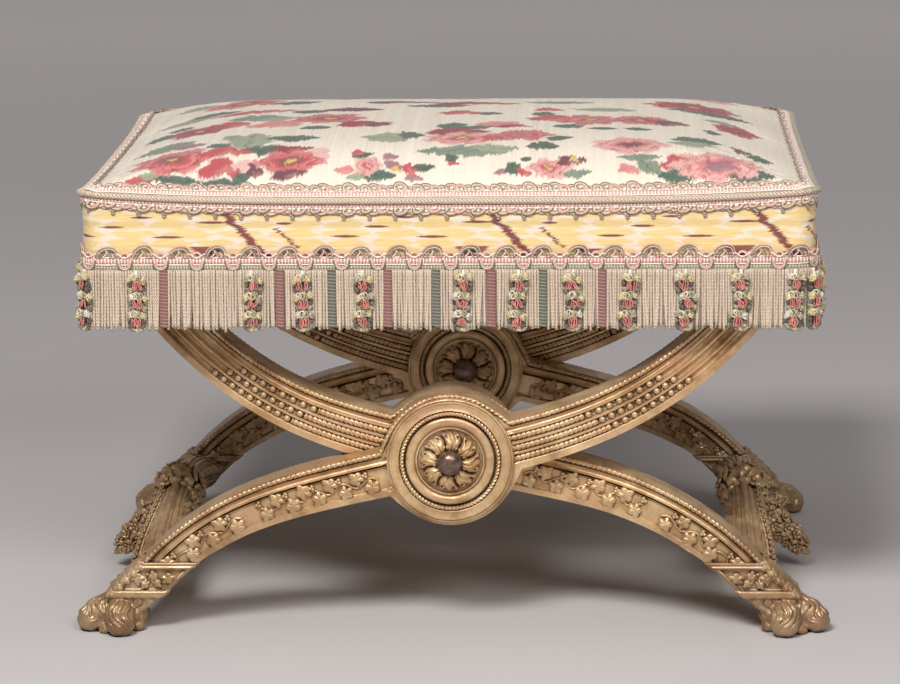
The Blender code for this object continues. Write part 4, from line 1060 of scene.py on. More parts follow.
def make_feet():
    form = Form()
    form.add(*foot_block())
    form.add(*ball(PAD, (0.027, 0.0235, PAW_HEIGHT / 2), 6))
    up = np.array([0.0, 0.0, 1.0])
    for angle, size, reach in TOES:
        turn = math.radians(angle)
        out = np.array([math.cos(turn), math.sin(turn), 0.0])
        axes = np.stack([out, np.cross(up, out), up])
        toe = PAD * (1, 1, 0) + up * (TOE_HEIGHT / 2 * size - SOLE_CUT) + out * reach
        for away, lift, radii, pieces in TOE_PARTS:
            form.add(*ball(toe + out * away + up * lift, np.array(radii) * size, pieces, axes))
    mesh = fused(form, "foot_skin", FOOT_VOXEL)
    sculpt_foot(mesh)
    sprig = foot_sprig().mesh("foot_sprig")
    for end, sign_y in (("front", 1), ("back", -1)):
        for side, sign_x in (("left", 1), ("right", -1)):
            name = f"{end}_{side}_foot"
            twin = mirrored(mesh, f"{name}_carved", (sign_x, sign_y, 1))
            place_piece(f"{name}_carved", twin, GILT, [name], sharp=80)
            twin = mirrored(sprig, f"{name}_sprig", (sign_x, sign_y, 1))
            place_piece(f"{name}_sprig", twin, GILT)


# Side stretchers with their bunches and drops of flowers

STRETCHER_HEIGHT = 0.050
STRETCHER_RISE = 0.028
STRETCHER_X = block_centre(STRETCHER_HEIGHT)
STRETCHER_REACH = -FRONT_FACE - BAR_THICKNESS - CLEARANCE
STRETCHER_LOWEST = 0.0015
BUNCH_MIDDLE = np.array([STRETCHER_X, 0.0, STRETCHER_HEIGHT + STRETCHER_RISE])
BUNCH_HALF = np.array([0.0215, 0.0300, 0.0245])
BUNCH_COUNT = 17
DROP_OUT = np.array([-math.sqrt(0.5), 0.0, -math.sqrt(0.5)])
DROP_START = 0.012
DROP_LENGTH = 0.0840
DROP_ROWS = 7
LEAF_FLUTES = 9
BLOSSOM_PETALS = 5


def blossom(form, centre, out, radius, pieces=3):
    """An open flower that faces outward: two rows of petals round a small eye."""
    out = unit(np.asarray(out, float))
    side = unit(np.cross(out, (0.27, 0.43, 0.86)))
    turned_by = rng.random() * math.tau
    for row, (away, size, lift) in enumerate(((0.62, 0.46, 0.05), (0.32, 0.34, 0.26))):
        for k in range(BLOSSOM_PETALS):
            turn = turned_by + (k + 0.5 * row) * math.tau / BLOSSOM_PETALS
            way = side * math.cos(turn) + np.cross(out, side) * math.sin(turn)
            tilt = 0.35 + 0.35 * row
            along = way * math.cos(tilt) + out * math.sin(tilt)
            axes = np.stack([along, np.cross(out, way), np.cross(along, np.cross(out, way))])
            spot = centre + way * radius * away + out * radius * lift
            reach = radius * size * (0.92 + 0.16 * rng.random())
            form.add(*ball(spot, (reach, reach * 0.86, reach * 0.42), pieces, axes))
    form.add(*ball(centre + out * radius * 0.34, radius * 0.20, 2))


def stretcher_path(distance):
    """Middle of the stretcher at a share of the way from the bunch to the front foot."""
    height = STRETCHER_HEIGHT + STRETCHER_RISE * (1 - distance ** 1.6)
    return np.stack([np.full_like(distance, STRETCHER_X), -STRETCHER_REACH * distance, height], -1)


def leaf_half(distance):
    """Half width and half height of a stretcher's leaf, at a share of the way from the bunch to the foot."""
    widening = ease(distance, 0.2, 1.0)
    return 0.0140 + 0.0072 * widening, 0.0128 + 0.0024 * widening


def leaf_body(form, side):
    """One acanthus leaf of the left stretcher, from its foot (side -1 is the front one) to the bunch."""
    rings, steps = 120, 96
    distance = np.linspace(0.05, 1.0, rings)
    angle = ring_angles(steps)
    half_x, half_z = leaf_half(distance[:, None])
    away = np.abs(((LEAF_FLUTES * angle / math.pi) % 1.0) - 0.5)
    flute = 1 - 0.17 * np.exp(-(away / 0.13) ** 2) + 0.03 * np.cos(math.tau * away)
    edge = np.abs(np.cos(angle)) ** 8
    lobes = np.abs(np.sin(math.pi * (distance[:, None] * 8 + 0.25 * np.sin(angle))))
    radial = flute[None, :] * (1 + 0.10 * edge * (lobes - 0.6))
    radial = radial * (1 + 0.03 * np.sin(distance[:, None] * 46 + 5 * np.abs(angle[None, :] - math.pi)))
    ring = [half_x * radial * np.cos(angle), np.zeros_like(radial), half_z * radial * np.sin(angle)]
    points = stretcher_path(distance)[:, None] + np.stack(ring, -1)
    points[..., 1] *= -side
    faces = skin_faces(rings, steps)
    form.add(points, faces if side > 0 else faces[:, ::-1])


def leaf_lobes(form, side):
    """Curled leaflets down both edges of a leaf, its rib, and flowers and beads along its outer edge."""
    for edge in (-1, 1):
        for k in range(8):
            distance = np.array([0.94 - 0.088 * k])
            wide = float(leaf_half(distance[0])[0])
            spot = stretcher_path(distance)[0] + np.array([edge * wide * 0.86, 0.0, 0.0035])
            along = unit(np.array([edge * 0.55, 1.0, 0.10]))
            up = edge * unit(np.cross(along, (edge * -0.8, 0.5, 0.0)))
            axes = np.stack([along, np.cross(up, along), up])
            for scale, lift, shift in ((1.0, 0.0, 0.0), (0.62, 0.0020, -0.003)):
                flat = (0.0098 * scale, 0.0046 * scale, 0.0030 * scale)
                points, faces = ball(spot + up * lift + along * shift, flat, 4, axes)
                form.add(points * (1, -side, 1), faces[:, ::-1] if side > 0 else faces)
    distance = np.linspace(0.12, 0.98, 60)
    half_x, half_z = leaf_half(distance)
    rib = stretcher_path(distance)
    rib[:, 2] += half_z - 0.0002
    rib[:, 1] *= -side
    form.add(*tube(rib, np.linspace(0.0030, 0.0018, len(rib)), 10))

    def edge_line(low):
        line = stretcher_path(distance)
        line[:, 0] -= half_x * math.cos(low)
        line[:, 2] += half_z * math.sin(low) * 1.02
        line[:, 1] *= -side
        return line

    for k, spot in enumerate(resample(edge_line(0.35), 0.0062)):
        out = unit(np.array([-0.75 if k % 2 else -0.35, 0.0, 0.45 if k % 2 else 0.9]))
        blossom(form, spot + out * 0.0008 + np.array([0.0, 0.0, 0.0026 if k % 2 else -0.0016]), out, 0.0052)
    for bead in resample(edge_line(0.62), 0.0038):
        form.add(*ball(bead, 0.0017, 3))


def bunch(form):
    """The round bunch of flowers and leaves in the middle of a stretcher."""
    form.add(*ball(BUNCH_MIDDLE, BUNCH_HALF * 0.82, 6))
    for k in range(BUNCH_COUNT):
        level = 1 - 2 * (k + 0.5) / BUNCH_COUNT
        turn = GOLDEN_TURN * k
        girth = math.sqrt(1 - level ** 2)
        way = np.array([girth * math.cos(turn), level, girth * math.sin(turn)])
        spot = BUNCH_MIDDLE + way * BUNCH_HALF * 0.84
        if k % 4 == 3:
            out = unit(way / BUNCH_HALF)
            first = unit(np.cross(out, (0.2, 0.5, 0.8)))
            form.add(*laid(leaf_patch(0.026, 0.019, 0.0050, 0.5), first, out, spot))
        else:
            blossom(form, spot, way / BUNCH_HALF, 0.0126 + 0.0026 * rng.random(), 4)


def flower_drop():
    """The drop of flowers that hangs outward from a bunch, in rows round a spine, with two leaves at its tip."""
    drop = Form()
    side, up = np.array([0.0, 1.0, 0.0]), np.cross((0.0, 1.0, 0.0), DROP_OUT)
    spine = np.linspace(0, 1, 24)[:, None]
    path = BUNCH_MIDDLE + DROP_OUT * (DROP_START + (DROP_LENGTH - 0.012) * spine)
    drop.add(*tube(path, (0.0088 * (1 - 0.62 * spine ** 1.3)).ravel(), 12, side))
    for row in range(DROP_ROWS):
        share = (row + 0.4) / DROP_ROWS
        centre = BUNCH_MIDDLE + DROP_OUT * (DROP_START + (DROP_LENGTH - 0.014) * share)
        girth = 0.0116 * (1 - 0.36 * share ** 1.4)
        around = 5 if row < 5 else 4
        for k in range(around):
            turn = (k + 0.5 * (row % 2)) * math.tau / around + 0.3 * rng.random()
            way = side * math.cos(turn) * 1.12 + up * math.sin(turn) * 0.86
            size = (0.0112 - 0.0034 * share) * (0.90 + 0.20 * rng.random())
            blossom(drop, centre + way * girth, way + DROP_OUT * 0.2, size)
            drop.add(*ball(centre + way * girth * 1.1 + DROP_OUT * size * 0.9, 0.0017, 2))
    tip = BUNCH_MIDDLE + DROP_OUT * (DROP_LENGTH - 0.006)
    for out in (up, -up):
        drop.add(*laid(leaf_patch(0.024, 0.016, 0.0040, 0.1), DROP_OUT, out, tip))
    return drop


def make_stretchers():
    form = Form()
    for side in (-1, 1):
        leaf_body(form, side)
        leaf_lobes(form, side)
    bunch(form)
    for base, shape in (("stretcher", form), ("flower_drop", flower_drop())):
        mesh = shape.mesh(base)
        for name, sign in (("left", 1), ("right", -1)):
            twin = mirrored(mesh, f"{name}_{base}_carved", (sign, 1, 1))
            points = mesh_points(twin)
            points[:, 2] = np.maximum(points[:, 2], STRETCHER_LOWEST)
            twin.vertices.foreach_set("co", points.ravel())
            place_piece(f"{name}_{base}_carved", twin, GILT, [f"{name}_{base}"], sharp=70)


# Seat

def seat_share(x, y):
    """How far out a plan point of the seat lies, 0 in the middle and 1 at the edge."""
    total = (np.abs(x) / HALF_X) ** SEAT_SQUARENESS + (np.abs(y) / HALF_Y) ** SEAT_SQUARENESS
    return total ** (1 / SEAT_SQUARENESS)


def edge_dip(x, y):
    """How far the seat's edge dips, at the edge beyond a plan point."""
    share = np.maximum(seat_share(x, y), 1e-6)
    across = np.abs(x) / HALF_X
    along = np.abs(y) / HALF_Y
    place = np.minimum(np.where(across > along, along, across) / share, 1.0)
    return EDGE_DIP * (1 - place ** 4)


def crown_height(x, y):
    share = np.minimum(seat_share(x, y), 1.0)
    slope = (1 - np.minimum(np.abs(x) / HALF_X, 1) ** 4) * (1 - np.minimum(np.abs(y) / HALF_Y, 1) ** 4)
    swell = np.sqrt(np.maximum(slope * (1 - share ** 12), 0.0))
    return EDGE_HEIGHT - edge_dip(x, y) * share ** CROWN_POWER + CROWN_RISE * swell


def into_corners(x, y):
    """Draws the corners of a plan grid in, so that its border runs round the rounded corners."""
    over_x = np.clip((np.abs(x) - (HALF_X - SEAT_CORNER)) / SEAT_CORNER, 0, 1)
    over_y = np.clip((np.abs(y) - (HALF_Y - SEAT_CORNER)) / SEAT_CORNER, 0, 1)
    near_x = np.minimum(np.abs(x), HALF_X - SEAT_CORNER) + SEAT_CORNER * over_x * np.sqrt(1 - over_y ** 2 / 2)
    near_y = np.minimum(np.abs(y), HALF_Y - SEAT_CORNER) + SEAT_CORNER * over_y * np.sqrt(1 - over_x ** 2 / 2)
    return np.sign(x) * near_x, np.sign(y) * near_y


def seat_loop(step):
    """Points round the edge of the seat's cover, with their outward directions."""
    straight_x = HALF_X - SEAT_CORNER
    straight_y = HALF_Y - SEAT_CORNER
    quarter = SEAT_CORNER * math.pi / 2
    lengths = [2 * straight_y, quarter, 2 * straight_x, quarter] * 2
    total = sum(lengths)
    count = int(round(total / step))
    along = np.arange(count) * total / count
    points = np.zeros((count, 2))
    normals = np.zeros((count, 2))
    start = 0.0
    for i, length in enumerate(lengths):
        inside = (along >= start) & (along < start + length)
        t = (along[inside] - start) / length
        side = i // 2
        turn = side * math.pi / 2
        ahead = np.array([-math.sin(turn), math.cos(turn)])
        out_way = np.array([math.cos(turn), math.sin(turn)])
        reach = (straight_x, straight_y)[side % 2]
        width = (straight_y, straight_x)[side % 2]
        if i % 2 == 0:
            points[inside] = out_way * (reach + SEAT_CORNER) + ahead * ((2 * t - 1) * width)[:, None]
            normals[inside] = out_way
        else:
            angle = turn + t * math.pi / 2
            normals[inside] = np.stack([np.cos(angle), np.sin(angle)], -1)
            points[inside] = out_way * reach + ahead * width + SEAT_CORNER * normals[inside]
        start += length
    return points, normals, along, total


IVORY = np.array(linear(246, 232, 212))
RED = np.array(linear(198, 94, 95))
PALE_RED = np.array(linear(226, 142, 138))
PALE_PINK = np.array(linear(238, 190, 180))
DARK_RED = np.array(linear(164, 66, 74))
PLUM = np.array(linear(126, 80, 85))
MAUVE = np.array(linear(172, 124, 132))
BOTTLE = np.array(linear(98, 113, 99))
LIGHT_LEAF = np.array(linear(166, 172, 142))
GREY_LEAF = np.array(linear(141, 151, 132))
GOLDEN = np.array(linear(228, 192, 112))

# The sprays of the top silk, in millimetres from its middle: kind, place and half sizes, then the lean in degrees
# and the colour of a leaf or petal, or the number of petals and the four colours of a flower
SPRAYS = (
    # big spray at the front left
    ("leaf", -262, -100, 30, 26, 20, GREY_LEAF), ("leaf", -240, -118, 20, 12, -30, MAUVE),
    ("leaf", -183, -124, 24, 40, 0, LIGHT_LEAF), ("leaf", -196, -108, 12, 26, 30, LIGHT_LEAF),
    ("leaf", -145, -120, 24, 17, 0, BOTTLE), ("leaf", -163, -162, 30, 15, 5, BOTTLE),
    ("leaf", -209, -142, 12, 16, 30, BOTTLE), ("leaf", -241, -223, 24, 9, -5, BOTTLE),
    ("leaf", -267, -217, 12, 9, 20, LIGHT_LEAF), ("leaf", -200, -228, 22, 7, 0, BOTTLE),
    ("leaf", -183, -219, 8, 12, 40, BOTTLE), ("petal", -274, -227, 15, 9, 10, RED),
    ("flower", -250, -176, 40, 44, 7, RED, PALE_RED, BOTTLE, GOLDEN), ("petal", -203, -166, 26, 17, 8, RED),
    ("petal", -203, -204, 23, 22, 0, RED), ("petal", -184, -198, 12, 14, -20, PALE_PINK),
    ("petal", -173, -207, 9, 15, 0, PLUM), ("petal", -116, -172, 13, 17, 0, PALE_PINK),
    ("petal", -142, -162, 22, 12, 10, DARK_RED),
    ("flower", -142, -190, 34, 25, 6, RED, PALE_RED, BOTTLE, GOLDEN), ("petal", -142, -213, 22, 9, 6, PLUM),
    # small spray beside it
    ("leaf", -61, -217, 14, 10, 0, BOTTLE), ("leaf", -80, -217, 8, 6, 20, LIGHT_LEAF),
    ("leaf", -22, -202, 11, 8, 0, BOTTLE), ("leaf", -77, -178, 9, 8, 20, BOTTLE),
    ("petal", -32, -218, 9, 7, 0, MAUVE), ("petal", -54, -182, 8, 10, 0, MAUVE),
    ("petal", -83, -172, 6, 9, 0, RED), ("petal", -92, -206, 9, 9, -20, PALE_RED),
    ("flower", -72, -199, 15, 18, 5, PALE_RED, PALE_PINK, RED, PALE_PINK),
    ("petal", -48, -198, 11, 10, 0, MAUVE), ("petal", -34, -204, 8, 12, 0, RED),
    ("petal", -46, -205, 6, 6, 0, GOLDEN),
    # peony spray in the middle
    ("leaf", -58, -120, 24, 24, -8, LIGHT_LEAF), ("leaf", -38, -108, 12, 18, 20, BOTTLE),
    ("leaf", -2, -62, 15, 22, 0, BOTTLE), ("leaf", 18, -166, 48, 17, 4, GREY_LEAF),
    ("leaf", 38, -160, 26, 12, -12, LIGHT_LEAF), ("leaf", 82, -152, 15, 15, -30, BOTTLE),
    ("leaf", 97, -126, 12, 12, 0, BOTTLE), ("leaf", 2, -186, 8, 10, 0, BOTTLE),
    ("petal", 2, -196, 6, 5, 0, RED), ("leaf", 22, -70, 18, 12, 20, BOTTLE),
    ("petal", 42, -50, 28, 20, -8, PALE_RED), ("petal", 52, -62, 20, 10, -8, DARK_RED),
    ("petal", 2, -92, 34, 20, 0, DARK_RED),
    ("flower", 9, -124, 38, 28, 7, PALE_RED, PALE_PINK, DARK_RED, GOLDEN),
    ("flower", 63, -110, 32, 28, 6, RED, PALE_RED, PALE_PINK, RED), ("petal", 36, -126, 14, 14, 20, RED),
    # small spray right of the middle
    ("petal", 47, -209, 9, 6, 0, MAUVE), ("leaf", 57, -206, 9, 12, 0, BOTTLE),
    ("petal", 66, -213, 8, 8, 0, RED), ("leaf", 68, -188, 6, 6, 0, BOTTLE),
    ("leaf", 114, -214, 13, 8, 15, GREY_LEAF),
    ("flower", 90, -204, 21, 20, 6, PALE_RED, PALE_PINK, RED, GOLDEN), ("petal", 108, -190, 18, 11, 0, PLUM),
    ("petal", 111, -188, 6, 6, 0, GOLDEN),
    # big roses at the front right
    ("leaf", 222, -114, 26, 18, 5, BOTTLE), ("leaf", 218, -136, 22, 16, 0, LIGHT_LEAF),
    ("leaf", 169, -184, 19, 8, 0, GREY_LEAF), ("leaf", 179, -202, 12, 16, 30, GREY_LEAF),
    ("leaf", 203, -219, 19, 13, -10, BOTTLE), ("leaf", 267, -220, 22, 12, 0, BOTTLE),
    ("leaf", 277, -148, 12, 20, 20, BOTTLE), ("petal", 262, -130, 11, 17, 0, PLUM),
    ("petal", 159, -207, 13, 10, 0, PALE_RED), ("petal", 201, -194, 15, 18, 0, RED),
    ("flower", 162, -150, 38, 30, 7, PALE_RED, PALE_PINK, PLUM, PLUM),
    ("flower", 239, -198, 46, 34, 8, PALE_RED, PALE_PINK, MAUVE, MAUVE),
    ("petal", 240, -204, 18, 9, 0, MAUVE),
    # left of the middle
    ("leaf", -276, -16, 18, 18, 10, BOTTLE), ("leaf", -262, 14, 14, 12, 0, BOTTLE),
    ("petal", -212, -18, 22, 28, 0, RED), ("flower", -240, -26, 34, 32, 6, DARK_RED, RED, PLUM, GOLDEN),
    ("leaf", -262, 60, 30, 16, 0, LIGHT_LEAF), ("leaf", -236, 78, 28, 14, 0, BOTTLE),
    ("petal", -196, 58, 50, 13, 0, RED),
    # long spray behind it
    ("leaf", -190, 18, 28, 22, -5, GREY_LEAF), ("leaf", -170, 2, 18, 16, 10, LIGHT_LEAF),
    ("leaf", -142, 44, 20, 13, 0, BOTTLE), ("leaf", -100, 50, 30, 15, 0, PLUM),
    ("leaf", -128, -64, 18, 12, 0, BOTTLE), ("petal", -168, -32, 30, 26, 0, PALE_RED),
    ("flower", -120, -6, 40, 34, 7, RED, PALE_RED, PLUM, GOLDEN), ("petal", -86, -44, 32, 22, 0, DARK_RED),
    ("petal", -72, -52, 16, 12, 0, PLUM),
    # right of the middle
    ("leaf", 106, -62, 16, 14, 0, BOTTLE), ("leaf", 138, -74, 14, 9, 0, BOTTLE),
    ("leaf", 168, -70, 13, 11, 0, BOTTLE), ("leaf", 139, 48, 32, 14, 0, LIGHT_LEAF),
    ("leaf", 82, 14, 14, 15, 0, BOTTLE), ("petal", 86, 44, 18, 13, 0, RED),
    ("petal", 92, -12, 30, 24, 0, RED), ("flower", 124, -22, 34, 34, 7, PALE_RED, RED, DARK_RED, GOLDEN),
    ("flower", 174, -14, 34, 30, 6, RED, PALE_RED, PLUM, GOLDEN), ("petal", 200, -24, 20, 20, 0, PLUM),
    ("leaf", 238, -48, 9, 14, 0, BOTTLE), ("leaf", 250, 26, 20, 12, 0, LIGHT_LEAF),
    ("flower", 262, -8, 24, 34, 5, DARK_RED, RED, PLUM, RED), ("petal", 2, 26, 24, 17, 0, RED),
    ("leaf", 30, 18, 13, 11, 0, BOTTLE),
    # far sprays
    ("leaf", 238, 74, 42, 18, 0, BOTTLE), ("flower", 224, 104, 50, 30, 8, DARK_RED, RED, PLUM, GOLDEN),
    ("leaf", -20, 74, 34, 12, 0, BOTTLE), ("petal", 12, 92, 50, 14, 0, DARK_RED),
    ("petal", -60, 104, 44, 12, 0, PLUM), ("leaf", 96, 96, 34, 12, 0, GREY_LEAF),
    ("flower", -212, 132, 44, 30, 7, RED, PALE_RED, BOTTLE, GOLDEN), ("leaf", -160, 112, 26, 14, 0, BOTTLE),
    ("leaf", -262, 156, 22, 16, 0, LIGHT_LEAF),
    ("flower", -60, 176, 44, 32, 7, PALE_RED, PALE_PINK, DARK_RED, GOLDEN),
    ("leaf", -112, 160, 24, 16, 20, BOTTLE), ("leaf", -6, 152, 26, 16, -20, LIGHT_LEAF),
    ("flower", 96, 186, 40, 28, 6, RED, PALE_RED, BOTTLE, GOLDEN), ("leaf", 48, 200, 22, 12, 0, BOTTLE),
    ("leaf", 150, 166, 22, 14, 0, GREY_LEAF),
    ("flower", 232, 190, 40, 30, 7, PALE_RED, PALE_PINK, PLUM, MAUVE), ("leaf", 180, 208, 20, 12, 0, BOTTLE),
)


def per_thread(places, width, amount, seed):
    """A random value for each thread, so that a pattern's edges are ragged as dyed warps make them."""
    draw = np.random.default_rng(seed)
    values = draw.standard_normal(4000) * 0.6 + np.repeat(draw.standard_normal(1000), 4) * 0.5
    return amount * values[np.floor(places / width).astype(int) % 4000]


def stain(colours, distance, colour, share=1.0, soft=0.16):
    cover = (np.clip((1.0 - distance) / soft, 0, 1) * share)[:, None]
    colours += (np.asarray(colour) - colours) * cover


def paint_flower(colours, u, v, petals, outer, pale, ring, heart):
    """A full-blown flower with two rows of petals, u and v being 1 at its edge."""
    radius, angle = np.hypot(u, v), np.arctan2(v, u)
    lobe = np.abs(np.cos(petals * angle / 2))
    edge = 0.72 + 0.28 * lobe ** 0.8
    stain(colours, radius / edge, outer)
    shade = outer * 0.62
    fold = np.maximum(1 - lobe / 0.22, 0) * ease(radius, 0.35, 0.6)
    stain(colours, np.where(radius < edge * 0.97, 1 - fold, 2.0), shade, 0.8)
    glow = ease(lobe, 0.55, 0.95) * ease(radius / edge, 0.60, 0.78) * (1 - ease(radius / edge, 0.88, 0.97))
    stain(colours, 1 - glow, pale, 0.75)
    second = np.abs(np.sin((petals - 1) * angle / 2 + 0.7))
    inner_edge = 0.46 + 0.12 * second ** 0.8
    rim = np.exp(-((radius - inner_edge) / 0.045) ** 2)
    stain(colours, 1 - rim * 0.9, pale, 0.8)
    stain(colours, np.where(np.abs(radius - inner_edge - 0.09) < 0.04, 0.5, 2.0), shade, 0.5)
    stain(colours, radius / (0.30 + 0.10 * second), PLUM * 0.5 + ring * 0.5, 0.85, 0.4)
    stain(colours, radius / 0.17, heart, 1.0, 0.3)


def paint_leaf(colours, u, v, colour):
    reach = np.clip(1 - u ** 2, 0, 1)
    notch = 0.88 + 0.12 * np.abs(np.sin(7 * u))
    distance = np.where(np.abs(u) < 1, np.abs(v) / (reach * notch + 1e-6), 5.0)
    stain(colours, distance, colour)
    stain(colours, np.where(distance < 0.9, np.abs(v) / 0.09, 5.0), colour * 0.5, 0.7, 0.5)
    side = np.abs(((u * 2.6 + np.abs(v) * 1.3) % 1.0) - 0.5)
    stain(colours, np.where(distance < 0.85, side / 0.08, 5.0), colour * 0.62, 0.45, 0.5)


def paint_petal(colours, u, v, colour):
    radius, angle = np.hypot(u, v), np.arctan2(v, u)
    edge = 0.86 + 0.14 * np.sin(3 * angle + 1.0 + 3 * colour[0])
    stain(colours, radius / edge, colour)
    pale = colour * 0.55 + PALE_PINK * 0.45
    stain(colours, np.hypot(u - 0.2, v + 0.30) / 0.46, pale, 0.55, 0.5)
    stain(colours, np.where(radius < edge * 0.95, np.abs(v - 0.25 * u) / 0.07, 5.0), colour * 0.6, 0.5, 0.5)


def paint_top(x, y):
    """The dyed pattern of the top silk, at plan points in metres."""
    colours = np.tile(IVORY, (len(x), 1))
    ragged = per_thread(x + 0.5, 0.0010, 0.0030, 3)
    ragged = ragged + 0.0014 * np.sin(x * 95 + y * 40) + 0.0010 * np.sin(x * 260 + 2)
    weave_x = x * 1000 + 1.8 * np.sin(y * 170 + x * 60) + 1.3 * np.sin(y * 390 - x * 110 + 1)
    for kind, middle_x, middle_y, reach_x, reach_y, *rest in SPRAYS:
        tuned = ragged * 1000 * min(1.0, reach_y / 16)
        across, along = weave_x - middle_x, y * 1000 + tuned - middle_y
        near = (np.abs(across) < reach_x * 1.3) & (np.abs(along) < reach_y * 1.3 + 12)
        if not near.any():
            continue
        part = colours[near]
        across, along = across[near], along[near]
        if kind == "flower":
            paint_flower(part, across / reach_x, along / reach_y, *rest)
        else:
            lean = math.radians(rest[0])
            u = (across * math.cos(lean) + along * math.sin(lean)) / reach_x
            v = (along * math.cos(lean) - across * math.sin(lean)) / reach_y
            if kind == "leaf" and reach_y > reach_x:
                u, v = v, u
            (paint_leaf if kind == "leaf" else paint_petal)(part, u, v, rest[1])
        colours[near] = part
    streak = 1 + 0.035 * per_thread(x + 0.5, 0.0013, 1.0, 11) + 0.02 * per_thread(x + 0.5, 0.0045, 1.0, 12)
    return np.clip(colours * streak[:, None], 0, 1)


COVER_COLUMNS = 127
COVER_ROWS = 89
MOST_SWELL = 0.0026
CROWN_SLACK = 0.0022  # how far the cover lies below its crown until the stuffing swells it
SKIRT_DROPS = (0.0025, 0.0070)


def border(grid):
    """The outermost items of a grid, in order round it."""
    return np.concatenate([grid[0, :-1], grid[:-1, -1], grid[-1, :0:-1], grid[:0:-1, 0]])


def skirt(plan, tops, above, first):
    """Rings of points that hang from a cover's border, which has the point numbers given, and their faces."""
    rings, faces = [], []
    for drop in (*SKIRT_DROPS, None):
        height = np.full(len(plan), COVER_BOTTOM) if drop is None else tops - drop
        rings.append(np.column_stack([plan, height]))
        below = first + np.arange(len(plan))
        faces.append(np.stack([above, below, np.roll(below, -1), np.roll(above, -1)], -1))
        above, first = below, first + len(plan)
    return rings, faces


def cover_sheet():
    """The cover as a coarse mesh: its top as a grid, and a short skirt."""
    x = np.linspace(-HALF_X, HALF_X, COVER_COLUMNS)[None, :] + np.zeros((COVER_ROWS, 1))
    y = np.linspace(-HALF_Y, HALF_Y, COVER_ROWS)[:, None] + np.zeros((1, COVER_COLUMNS))
    x, y = into_corners(x, y)
    start = crown_height(x, y) - CROWN_SLACK * (1 - seat_share(x, y) ** 6)
    top = np.stack([x, y, start], -1)
    plan = border(top)[:, :2]
    rim = border(np.arange(COVER_ROWS * COVER_COLUMNS).reshape(COVER_ROWS, COVER_COLUMNS))
    tops = EDGE_HEIGHT - edge_dip(plan[:, 0], plan[:, 1])
    rings, faces = skirt(plan, tops, rim, COVER_ROWS * COVER_COLUMNS)
    points = np.concatenate([top.reshape(-1, 3), *rings])
    return points, np.concatenate([grid_faces(COVER_ROWS, COVER_COLUMNS), *faces]), rim


def spread(count, fine):
    """Weights that carry evenly spaced values over to a finer spacing along smooth curves."""
    places = np.linspace(0, count - 1, fine)
    first = np.minimum(places.astype(int), count - 2)
    t = places - first
    weights = np.zeros((fine, count))
    for step, value in (
        (-1, -t / 2 + t ** 2 - t ** 3 / 2), (0, 1 - 2.5 * t ** 2 + 1.5 * t ** 3),
        (1, t / 2 + 2 * t ** 2 - 1.5 * t ** 3), (2, -t ** 2 / 2 + t ** 3 / 2),
    ):
        np.add.at(weights, (np.arange(fine), np.clip(first + step, 0, count - 1)), value)
    return weights


CLOTH = {
    "quality": 5, "mass": 0.15, "tension_stiffness": 40, "compression_stiffness": 40, "shear_stiffness": 20,
    "bending_stiffness": 0.5, "use_pressure": True, "uniform_pressure_force": 4.0,
}
CLOTH_STEPS = 20


def swell_out(piece, held):
    """Cloth simulation: the stuffing presses the cover out, and its edge stays where it is held."""
    rest = mesh_points(piece.data)
    group = piece.vertex_groups.new(name="held")
    group.add([int(i) for i in held], 1.0, "REPLACE")
    cloth = piece.modifiers.new("cloth", "CLOTH")
    for setting, value in CLOTH.items():
        setattr(cloth.settings, setting, value)
    cloth.settings.vertex_group_mass = "held"
    cloth.settings.effector_weights.gravity = 0
    cloth.collision_settings.use_collision = False
    for step in range(CLOTH_STEPS):
        bpy.context.scene.frame_set(step + 1)
    shape = piece.evaluated_get(bpy.context.evaluated_depsgraph_get())
    way = mesh_points(shape.data) - rest
    piece.modifiers.remove(cloth)
    bpy.context.scene.frame_set(1)
    far = np.linalg.norm(way, axis=1, keepdims=True)
    way *= MOST_SWELL * np.tanh(far / MOST_SWELL) / np.maximum(far, 1e-9)
    piece.data.vertices.foreach_set("co", (rest + way).ravel())
    piece.data.update()


def pull_folds(x, y):
    """Shallow folds where the silk is pulled to its left and right edges."""
    inset = HALF_X - np.abs(x)
    wave = np.sin(y * 560 + 2.2 * np.sin(y * 83) + x * 60) + 0.6 * np.sin(y * 910 + 1.3 + x * 90)
    strength = ease(inset, 0.006, 0.02) * (1 - ease(inset, 0.03, 0.095))
    strength = strength * (0.5 + 0.5 * np.sin(y * 37 + np.sign(x)))
    return 0.00045 * wave * strength * (1 - ease(np.abs(y), HALF_Y - 0.05, HALF_Y - 0.01))


FINE_COLUMNS = 840
FINE_ROWS = 220


